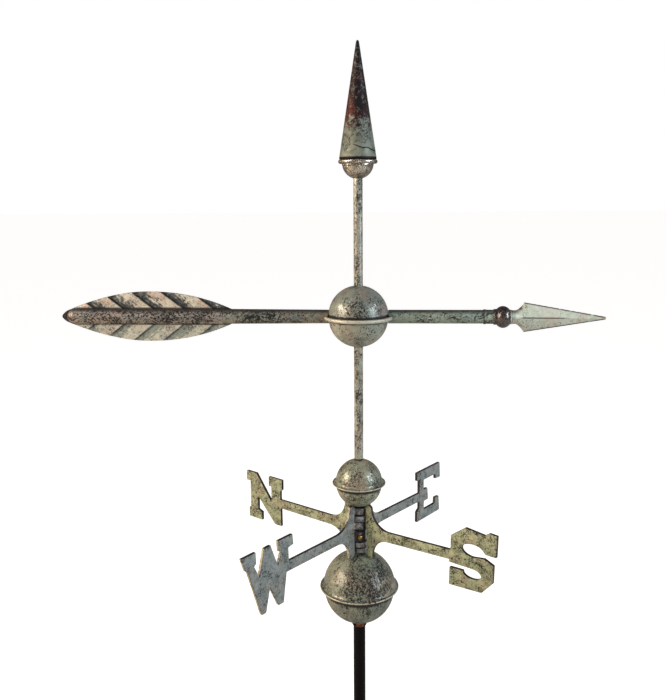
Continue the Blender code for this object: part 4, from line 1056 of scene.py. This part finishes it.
def arm_outline(letter, web_foot, web_top, depth_in):
    root_in = ROOT_IN
    root_out = ROOT_IN + ROOT_W
    end_z = ROOT_H / 2 - ROOT_END
    cap = ((root_in + root_out) / 2, end_z)
    cap_radii = ((root_out - root_in) / 2, ROOT_END)
    near, width, height = LETTER_NEAR[letter], LETTER_W[letter], LETTER_H[letter]
    arm_end_z = ARM_Z + ARM_RISE[letter]
    letter_z = arm_end_z - LETTER_DROP[letter]
    join_top, join_foot = (near + share * width for share in JOIN[letter])
    flare_x = root_out + ROOT_FLARE
    top_edge = ARM_Z + ARM_H_ROOT / 2
    low_edge = ARM_Z - ARM_H_ROOT / 2
    tilt = ARM_RISE[letter] / LETTER_NEAR[letter]
    upper_root = arc(cap, cap_radii, 180, 0, 16)
    upper_root += arc((flare_x, end_z), (ROOT_FLARE, end_z - top_edge), 180, 270, 24)[1:]
    lower_root = arc((flare_x, -end_z), (ROOT_FLARE, end_z + low_edge), 90, 180, 24)
    lower_root += arc((cap[0], -end_z), cap_radii, 0, -180, 16)[1:]
    points = [(depth_in, web_top), (root_in, web_top)]
    points += [(x - z * tilt, z) for x, z in upper_root]
    letter_points = [(join_top, arm_end_z + ARM_H_END / 2)]
    letter_points += [(near + x * width, letter_z + z * height) for x, z in LETTERS[letter]()]
    letter_points.append((join_foot, arm_end_z - ARM_H_END / 2))
    filed = rounded(letter_points, SOFT_CORNERS[letter], 0.45, 160, 4)
    points += [letter_points[0]] + [p for p in filed if p[0] > near - 0.001][1:-1] + [letter_points[-1]]
    points += [(x - z * tilt, z) for x, z in lower_root]
    points += [(root_in, web_foot), (depth_in, web_foot)]
    return points


def slab(name, outline, ease):
    """A flat slab with eased edges, cut to an outline, standing in for one plate."""
    curve = bpy.data.curves.new(name, "CURVE")
    curve.dimensions = "2D"
    curve.fill_mode = "BOTH"
    curve.extrude = PLATE_T / 2 - ease
    curve.bevel_depth = ease
    curve.bevel_resolution = 2
    curve.offset = -ease
    spline = curve.splines.new("POLY")
    spline.points.add(len(outline) - 1)
    for point, (x, z) in zip(spline.points, outline):
        point.co = (x, z, 0.0, 1.0)
    spline.use_cyclic_u = True
    skin = bmesh.new()
    skin.from_mesh(settled(new_item(name, curve)))
    bmesh.ops.remove_doubles(skin, verts=skin.verts, dist=0.000005)
    bmesh.ops.recalc_face_normals(skin, faces=skin.faces)
    return skin


def cast_plate(name, outline, matrix, globe_skins):
    """A plate of a casting; its edges are eased as far as its narrowest corners allow."""
    for ease in (0.0005, 0.0003, 0.0002, 0.0001):
        skin = slab(name, outline, ease)
        if all(len(edge.link_faces) == 2 for edge in skin.edges):
            break
        skin.free()
    skin.transform(matrix @ Matrix.Translation((0, 0, Z_ARMS)) @ turn_about("X", 90))
    plate = new_item(name, mesh_of(skin, name))
    for make_skin in globe_skins:
        cut(plate, make_skin())
    return plate


def globe_room(radius, centre_z):
    clear = radius + 2 * GAP
    profile = arc((0.0, centre_z), (clear, clear), 90, -90, 48)
    profile[0] = (0.0, centre_z + clear)
    profile[-1] = (0.0, centre_z - clear)
    return turned_mesh(profile, 96)


def barrel_profile(low, high, rings):
    bore = PIN_D / 2 + GAP
    profile = [(bore, high)]
    upper = high
    for share, radius in rings:
        lower = low + (high - low) * share
        profile += [(radius, upper), (radius, lower)]
        upper = lower
    return profile + [(bore, low)]


def casting(name, node, outward, inward, turn, rings, low, high, face_finish, slot):
    rooms = (lambda: globe_room(LARGE_GLOBE_R, Z_LARGE_JOINT + LARGE_BAND),
             lambda: globe_room(SMALL_LOWER_R, foot("small_globe_lower") + SMALL_LOWER_R))
    web_foot = low + WEB_MARGIN - Z_ARMS
    web_top = high - WEB_MARGIN - Z_ARMS
    start = (PIN_D / 2 + GAP + NECK_R) / 2
    whole = bmesh.new()
    matrix = turn_about("Z", turn)
    across = (matrix @ Vector((0.0, 1.0, 0.0))).normalized()
    for letter, side in ((outward, 1), (inward, -1)):
        outline = arm_outline(letter, web_foot, web_top, start)
        if side < 0:
            outline = [(-x, z) for x, z in reversed(outline)]
        plate = cast_plate(f"{name}_{letter}", outline, matrix, rooms)
        whole.from_mesh(plate.data)
        bpy.data.objects.remove(plate)
    for face in whole.faces:
        face.material_index = 0 if abs(face.normal.dot(across)) > 0.8 else 1
    barrel = turned_mesh(eased(barrel_profile(low, high, rings), 0.0004, True), SIDES, True)
    for face in barrel.faces:
        face.material_index = 2
    whole.from_mesh(mesh_of(barrel, "barrel"))
    piece = new_piece(name, whole, (face_finish, "cast_edge", "hub"), sharp=30.0)
    return dress(piece, "mast", slot, node)


def hub():
    bore, low, high = PIN_D / 2 + GAP, foot("hub_washer"), top("hub_washer")
    washer = [(bore, high), (WASHER_R, high), (WASHER_R, low), (bore, low)]
    turned("washer", washer, "rod", "mast", "black_steel", ("hub_washer",), SIDES_SLIM, closed=True)
    upper_rings = tuple(zip((*UPPER_RINGS, 0.0), (BARREL_R, NECK_R, COLLAR_RING_R, NECK_R)))
    casting("north_south_casting", "north_south_arms", "south", "north", NORTH_TURN, upper_rings,
            Z_HUB_JOINT + GAP, Z_HUB_TOP, "north_south", "patina")
    lower_rings = tuple(zip((*LOWER_RINGS, 0.0), (BARREL_R, NECK_R, COLLAR_RING_R, NECK_R, BARREL_R)))
    casting("east_west_casting", "east_west_arms", "east", "west", NORTH_TURN + 90, lower_rings,
            Z_HUB_FOOT, Z_HUB_JOINT, "east_west", "patina_grey")
    screw_boss()


def screw_boss():
    """A square boss with a sunk face and a slotted brass screw in it."""
    turn = turn_about("Z", NORTH_TURN - 45)
    middle = Z_HUB_JOINT - BOSS_TOP_MARGIN - BOSS_H / 2
    block = box_at((BOSS_REACH - BOSS_START, BOSS_W, BOSS_H), ((BOSS_REACH + BOSS_START) / 2, 0, middle))
    front = max(block.faces, key=lambda face: face.calc_center_median().x)
    bmesh.ops.inset_region(block, faces=[front], thickness=BOSS_RIM, depth=0.0)
    sunk = bmesh.ops.extrude_discrete_faces(block, faces=[front])["faces"][0]
    bmesh.ops.translate(block, vec=Vector((-BOSS_RECESS, 0, 0)), verts=sunk.verts)
    bmesh.ops.bevel(block, geom=block.edges[:], offset=0.0004, segments=2, profile=0.5, affect="EDGES")
    block.transform(turn)
    bmesh.ops.recalc_face_normals(block, faces=block.faces)
    dress(new_piece("screw_boss", block, ("boss",)), "mast", "patina_grey")
    floor = BOSS_REACH - BOSS_RECESS
    head = HUB_SCREW_HEAD_D / 2
    profile = arc((0.0, floor + GAP), (head, HUB_SCREW_HEAD_H), 90, 0, 12)
    profile[0] = (0.0, profile[0][1])
    profile += [(HUB_SCREW_D / 2, floor + GAP), (HUB_SCREW_D / 2, PIN_D / 2 + GAP), (0.0, PIN_D / 2 + GAP)]
    centre = turn @ Matrix.Translation((0, 0, middle - HUB_SCREW_DROP))
    screw = new_piece("brass_screw", turned_mesh(profile, 48, matrix=centre @ turn_about("Y", 90)), ("brass",))
    slot = box_at((HUB_SLOT_DEEP, head * 2.2, HUB_SLOT_W), (floor + HUB_SCREW_HEAD_H, 0, 0))
    slot.transform(centre @ turn_about("X", HUB_SCREW_TURN))
    cut(screw, slot)
    dress(piece_from_mesh("hub_screw_slotted", settled(screw)), "mast", "brass", "hub_screw")


# Tube and middle ball
def tube():
    low, high = foot("spindle_tube"), top("spindle_tube")
    bore = PIN_D / 2 + PIN_PLAY
    seat = top("mast_rod") + GAP
    profile = [(0.0, high), (TUBE_D / 2, high), (TUBE_D / 2, low), (bore, low), (bore, seat), (0.0, seat)]
    turned("turning_tube", profile, "tube", "vane", "patina", ("spindle_tube",), SIDES_SLIM)


def middle_ball():
    bore = TUBE_D / 2 + GAP
    joint = Z_BALL_JOINT
    high = angle_at_radius(bore, BALL_R)
    upper = arc((0.0, joint + BALL_BAND), (BALL_R, BALL_R), high, 0.0, ARC_STEPS)
    upper += [(BALL_R, joint), (bore, joint)]
    turned("ball_dome", upper, "ball_upper", "vane", "patina", ("ball_upper",), closed=True)
    top_edge = joint - GAP
    lip = BALL_R + BEAD_GROOVE
    rim = arc((BEAD_RING_R, joint + BEAD_Z), (BEAD_R, BEAD_R), 135, -135, 20)
    lower = [(bore, top_edge), (lip, top_edge), (lip, joint + BEAD_LIP)] + rim
    lower += arc((0.0, top_edge), (BALL_R, BALL_R), -6.0, -high, ARC_STEPS)
    turned("ball_bowl", lower, "ball_lower", "vane", "patina", ("ball_lower",), closed=True)


# Arrow
def shafts():
    def room():
        clear = BALL_R + 2 * GAP
        bead_clear = BEAD_R + 2 * GAP
        profile = arc((0.0, Z_BALL_JOINT + BALL_BAND), (clear, clear), 90, 4.0, 32)
        profile += arc((BEAD_RING_R, Z_BALL_JOINT + BEAD_Z), (bead_clear, bead_clear), 125, -125, 24)
        profile += arc((0.0, Z_BALL_JOINT - GAP), (clear, clear), -6.0, -90, 32)
        profile[0] = (0.0, profile[0][1])
        profile[-1] = (0.0, profile[-1][1])
        return turned_mesh(profile, SIDES)

    tail = [(0.0, TAIL_SHAFT_REACH - GAP), (TAIL_SHAFT_D / 2, TAIL_SHAFT_REACH - GAP),
            (SHAFT_D / 2, SHAFT_START), (0.0, SHAFT_START)]
    point = [(0.0, POINT_SHAFT_REACH - GAP), (SHAFT_D / 2, POINT_SHAFT_REACH - GAP), (SHAFT_D / 2, SHAFT_START),
             (0.0, SHAFT_START)]
    for name, node, profile, side, finish, slot in (
            ("tail_tube", "tail_shaft", tail, -1, "shaft_dark", "dark_patina"),
            ("point_tube", "point_shaft", point, 1, "shaft_green", "patina")):
        shaft = new_piece(name, turned_mesh(eased(profile, 0.0004), SIDES_SLIM, matrix=along_arrow(side)), (finish,))
        cut(shaft, room())
        dress(piece_from_mesh(name, settled(shaft)), "vane", slot, node)


def feather_half_height(reach):
    run = reach - FEATHER_WIDEST
    if run > 0:
        share = run / FEATHER_TIP_RUN
        rounded = 1.0 - share ** FEATHER_TIP_POWER
        nose = max(0.0, FEATHER_REACH - reach) / FEATHER_NOSE
        blunt = math.sqrt(max(0.0, 1.0 - (1.0 - min(nose, 1.0)) ** 2))
        return FEATHER_HALF_H * rounded * blunt
    share = -run / FEATHER_ROOT_RUN
    return FEATHER_HALF_H * (1.0 - share ** FEATHER_ROOT_POWER)


def barb_line(reach, steps):
    """Points from the quill out to the rim along one slanting barb line: reach, height, share of the way out."""
    edge = min(QUILL_R_ROOT * 0.8, feather_half_height(reach) * 0.98)
    low, high = edge, FEATHER_HALF_H
    for _ in range(40):
        middle = (low + high) / 2
        along = reach + BARB_SLANT * (middle - edge)
        inside = along < FEATHER_REACH and feather_half_height(along) > middle
        low, high = (middle, high) if inside else (low, middle)
    points = [(reach, 0.0, 0.0)]
    for i in range(steps + 1):
        height = edge + (low - edge) * i / steps
        points.append((reach + BARB_SLANT * (height - edge), height, i / steps))
    return points


def feather_stations():
    """Places along the quill, close together at each steep step."""
    crest = FEATHER_REACH - BARB_FIRST + BARB_STEP
    places = {FEATHER_ROOT}
    for i in range(29):
        places.add(FEATHER_REACH - 0.0003 - (BARB_FIRST - BARB_STEP - 0.0006) * (i / 28) ** 1.4)
    for barb in range(BARB_COUNT):
        here = crest - BARB_PITCH * barb
        for share in (0.0, 0.5, 1.0):
            places.add(here - BARB_STEP * share)
        for i in range(1, 22):
            places.add(here - BARB_STEP - (BARB_PITCH - BARB_STEP) * i / 22)
    return sorted((p for p in places if p >= FEATHER_ROOT), reverse=True)


def feather_base():
    """The feather's web before its barbs are raised: front and back skins that meet at the rim."""
    skin = bmesh.new()
    rows, notes = [], []
    edge = FEATHER_EDGE_T / 2
    for reach in feather_stations():
        line = barb_line(reach, 14)
        upwards = [(along, height, out, 1.0) for along, height, out in line]
        downwards = [(along, -height, out, 1.0) for along, height, out in reversed(line[1:])]
        front = downwards + upwards
        rim_top = (line[-1][0], line[-1][1] + edge * 0.35, 1.0, 0.0)
        rim_low = (line[-1][0], -line[-1][1] - edge * 0.35, 1.0, 0.0)
        loop = [(along, height, out, -1.0) for along, height, out, _ in front] + [rim_top]
        loop += [(along, height, out, 1.0) for along, height, out, _ in reversed(front)] + [rim_low]
        row = []
        for along, height, out, side in loop:
            row.append(skin.verts.new((-along, side * edge, Z_ARROW + height)))
            notes.append((reach, out, side))
        rows.append(row)
    join_rows(skin, rows)
    bmesh.ops.recalc_face_normals(skin, faces=skin.faces)
    mesh = mesh_of(skin, "feather_web")
    for label, column in (("station", 0), ("outward", 1), ("side", 2)):
        attribute = mesh.attributes.new(label, "FLOAT", "POINT")
        attribute.data.foreach_set("value", [note[column] for note in notes])
    return bpy.data.objects.new("feather_web", mesh)


def feather():
    mesh = run_tree("Barbs", feather_base(), BARB_TREE, {
        "Crest": FEATHER_REACH - BARB_FIRST + BARB_STEP, "Pitch": BARB_PITCH, "Step": BARB_STEP, "Rise": BARB_RISE,
        "Rim Share": RIM_SHARE, "Tip Run": BARB_FIRST, "Root": FEATHER_ROOT, "Material": FINISHES["feather"]})
    dress(piece_from_mesh("feather_web", mesh, sharp=28.0), "vane", "patina", "tail_feather")
    nose = FEATHER_REACH - QUILL_MARGIN
    profile = arc((0.0, nose - QUILL_NOSE), (QUILL_R_TIP, QUILL_NOSE), 90, 0, 16)
    profile[0] = (0.0, nose)
    profile += [(QUILL_R_ROOT, TAIL_SHAFT_REACH), (0.0, TAIL_SHAFT_REACH)]
    turned("feather_quill", profile, "quill", "vane", "patina", ("tail_feather",), SIDES_SLIM,
           matrix=along_arrow(-1))


def socket():
    """Turned in one: a ring, a sleeve, a collar, a bead and a neck, from the shaft outwards."""
    ring = POINT_SHAFT_REACH
    sleeve = ring + SOCKET_RING_H
    band = sleeve + SOCKET_SLEEVE_H
    bead = band + SOCKET_COLLAR_H
    neck = bead + SOCKET_BEAD_W
    end = neck + SOCKET_NECK_H
    neck_r = SOCKET_NECK_D / 2
    reach = math.degrees(math.acos(neck_r / (SOCKET_BEAD_D / 2)))
    profile = [(0.0, end), (HEAD_NECK_D / 2, end), (HEAD_NECK_D / 2, end - SOCKET_NECK_H * 0.45)]
    profile += [(neck_r, end - SOCKET_NECK_H * 0.55), (neck_r, neck)]
    profile += arc((0.0, (bead + neck) / 2), (SOCKET_BEAD_D / 2, SOCKET_BEAD_W / 2 / math.sin(math.radians(reach))),
                   reach - 4, -reach + 4, 24)
    profile += [(SOCKET_COLLAR_D / 2, bead), (SOCKET_COLLAR_D / 2, band), (SOCKET_SLEEVE_D / 2, band),
                (SOCKET_SLEEVE_D / 2, sleeve), (SOCKET_RING_D / 2, sleeve), (SOCKET_RING_D / 2, ring), (0.0, ring)]
    piece = turned("point_bead", profile, "socket", "vane", "dark_patina", ("point_socket",), SIDES_SLIM,
                   matrix=hung_point() @ along_arrow(1))
    for finish in ("shaft_green", "head"):
        piece.data.materials.append(FINISHES[finish])
    for face in piece.data.polygons:
        if ring + SOCKET_RING_H * 0.5 < face.center.x < band - 0.0002:
            face.material_index = 1
        elif neck < face.center.x < end - SOCKET_NECK_H * 0.56 or face.center.x > end - SOCKET_NECK_H * 0.4:
            face.material_index = 2
    return end + GAP


def lance_section(along):
    """Half height, half thickness and squareness of the head; 2 is round, 1 a diamond."""
    barbs = HEAD_NECK_H + HEAD_FLARE
    neck = HEAD_NECK_D / 2
    if along <= HEAD_NECK_H:
        return neck, neck, 2.0
    if along <= barbs:
        share = (along - HEAD_NECK_H) / HEAD_FLARE
        height = neck + (HEAD_H / 2 - neck) * share ** HEAD_SPREAD
        depth = neck + (HEAD_T / 2 - neck) * share
        return height, depth, 2.0 - 0.9 * share ** 0.6
    share = (along - barbs) / HEAD_BLADE
    height = HEAD_H / 2 + (HEAD_TIP_H / 2 - HEAD_H / 2) * share
    depth = HEAD_T / 2 + (HEAD_TIP_H / 2 - HEAD_T / 2) * share ** 1.3
    return height, depth, 1.1


def lance_head(start):
    around = 64
    barbs = HEAD_NECK_H + HEAD_FLARE
    places = [0.0, HEAD_NECK_H]
    places += [HEAD_NECK_H + HEAD_FLARE * i / 16 for i in range(1, 17)]
    places += [barbs + HEAD_BLADE * i / 24 for i in range(1, 25)]
    skin = bmesh.new()
    rows = []
    for along in places:
        height, depth, squareness = lance_section(along)
        row = []
        for i in range(around):
            angle = math.tau * i / around
            c, s = math.cos(angle), math.sin(angle)
            y = depth * math.copysign(abs(c) ** (2 / squareness), c)
            z = height * math.copysign(abs(s) ** (2 / squareness), s)
            row.append(skin.verts.new((start + along, y, Z_ARROW + z)))
        rows.append(row)
    join_rows(skin, rows)
    skin.transform(hung_point())
    bmesh.ops.recalc_face_normals(skin, faces=skin.faces)
    dress(new_piece("lance_head", skin, ("head",), sharp=28.0), "vane", "patina", "arrowhead")


# Finial
def finial():
    bore = TUBE_D / 2 + GAP
    low_z = foot("finial_cup")
    rim = (CUP_RIM_RING_R, top("finial_cup") - CUP_RIM_R)
    socket_end = top("spindle_tube") + CUP_SEAT_PLAY
    low = angle_at_radius(bore, CUP_R)
    profile = [(0.0, rim[1] + CUP_RIM_R)] + arc(rim, (CUP_RIM_R, CUP_RIM_R), 90, -90, 16)
    profile += arc((0.0, low_z + CUP_R), (CUP_R, CUP_R), -1.0, -low, ARC_STEPS)
    profile += [(bore, socket_end), (0.0, socket_end)]
    turned("cup", profile, "cup", "vane", "copper", ("finial_cup",), SIDES)
    base, tip = foot("finial_cone"), top("finial_cone")
    cone = [(0.0, tip), (CONE_TIP_R * 0.6, tip - CONE_TIP_R * 0.2), (CONE_TIP_R, tip - CONE_TIP_R)]
    for i in range(1, 24):
        share = i / 24
        cone.append((CONE_TIP_R + (CONE_BASE_R - CONE_TIP_R) * share,
                     tip - CONE_TIP_R + (base + CONE_SKIRT - tip + CONE_TIP_R) * share))
    cone += [(CONE_BASE_R, base + CONE_SKIRT), (CONE_BASE_R, base), (0.0, base)]
    turned("cone", cone, "cone", "vane", "dark_patina", ("finial_cone",), SIDES)


rod()
collar()
globes()
hub()
tube()
middle_ball()
shafts()
feather()
lance_head(socket())
finial()


# Floor, light and camera
LIGHT_AIM = (0.0, 0.0, 0.55)
LIGHT_DISTANCE = 2.2
SENSOR_H = 36.0


def plain_floor():
    skin = bmesh.new()
    bmesh.ops.create_grid(skin, x_segments=1, y_segments=1, size=30.0)
    floor = new_item("floor", mesh_of(skin, "floor"))
    material, tree, shader = new_material("pale_floor", (0.9, 0.9, 0.9))
    seen = add_node(tree, "ShaderNodeLightPath", out="Is Camera Ray")
    fill(shader, {"Base Color": (0.50, 0.49, 0.47, 1.0), "Roughness": 0.9, "Emission Color": (1.0, 1.0, 1.0, 1.0),
                  "Emission Strength": seen * 0.86})
    floor.data.materials.append(material)


def studio_world():
    """White to the eye; for light, warm from the left, cool from the right, and dimmer overhead and behind."""
    world = bpy.data.worlds.new("studio")
    bpy.context.scene.world = world
    world.use_nodes = True
    tree = world.node_tree
    tree.nodes.clear()
    x, y, z = split(add_node(tree, "ShaderNodeTexCoord", out="Generated"))
    colour = blended(between(-x, 0.25, 0.95), (0.13, 0.13, 0.13), (0.84, 0.66, 0.47))
    colour = blended(between(x, 0.30, 0.95), colour, (0.36, 0.42, 0.53))
    colour = blended(between(z, 0.35, 0.9), colour, (0.20, 0.20, 0.20))
    colour = blended(between(y, 0.1, 0.7), colour, (0.17, 0.155, 0.14))
    lighting = add_node(tree, "ShaderNodeBackground", {"Color": colour, "Strength": 1.0})
    white = add_node(tree, "ShaderNodeBackground", {"Color": (1.0, 1.0, 1.0, 1.0), "Strength": 1.0})
    seen = add_node(tree, "ShaderNodeLightPath", out="Is Camera Ray")
    mixed = add_node(tree, "ShaderNodeMixShader", {0: seen, 1: lighting, 2: white})
    new_node(tree, "ShaderNodeOutputWorld", {0: mixed})


def softbox(name, direction, size, watts, colour):
    light = bpy.data.lights.new(name, "AREA")
    light.shape = "RECTANGLE"
    light.size, light.size_y = size
    light.energy = watts
    light.color = colour
    item = new_item(name, light)
    away = Vector(direction).normalized()
    item.location = Vector(LIGHT_AIM) + away * LIGHT_DISTANCE
    item.rotation_euler = (-away).to_track_quat("-Z", "Y").to_euler()


def photo_camera():
    data = bpy.data.cameras.new("photo_camera")
    data.sensor_fit = "VERTICAL"
    data.sensor_height = SENSOR_H
    data.lens = FOCAL_PX / PHOTO_H * data.sensor_height
    data.shift_y = -LENS_RISE_PX / PHOTO_H
    data.clip_start = 0.01
    data.clip_end = 200.0
    camera = new_item("photo_camera", data)
    turn, tilt, roll = (math.radians(v) for v in (CAMERA_TURN, CAMERA_TILT, CAMERA_ROLL))
    ahead = Vector((math.sin(turn) * math.cos(tilt), math.cos(turn) * math.cos(tilt), math.sin(tilt)))
    right = ahead.cross(Vector((0, 0, 1))).normalized()
    up = right.cross(ahead)
    leaning_up = up * math.cos(roll) + right * math.sin(roll)
    leaning_right = right * math.cos(roll) - up * math.sin(roll)
    frame_axes = Matrix((leaning_right, leaning_up, -ahead)).transposed().to_4x4()
    camera.matrix_world = Matrix.Translation(CAMERA_AT) @ frame_axes
    bpy.context.scene.camera = camera


plain_floor()
studio_world()
softbox("warm_key", (-0.90, -0.34, 0.34), (1.0, 1.3), 40.0, (1.0, 0.85, 0.68))
softbox("cool_key", (0.86, -0.42, 0.28), (0.9, 1.2), 27.0, (0.80, 0.92, 1.0))
softbox("warm_spot", (-0.88, -0.03, 0.46), (0.28, 0.42), 5.0, (1.0, 0.86, 0.78))
softbox("warm_low", (-0.70, -0.58, 0.375), (0.24, 0.28), 4.5, (1.0, 0.85, 0.77))
softbox("cool_small", (-0.47, -0.35, 0.80), (0.18, 0.20), 2.0, (0.84, 0.93, 1.0))
softbox("pink_right", (0.82, -0.07, 0.53), (0.24, 0.30), 3.4, (1.0, 0.87, 0.84))
softbox("blue_right", (0.77, -0.38, 0.48), (0.22, 0.26), 2.6, (0.78, 0.88, 1.0))
photo_camera()

bpy.context.scene.view_settings.view_transform = "Standard"
bpy.context.scene.view_settings.look = "None"
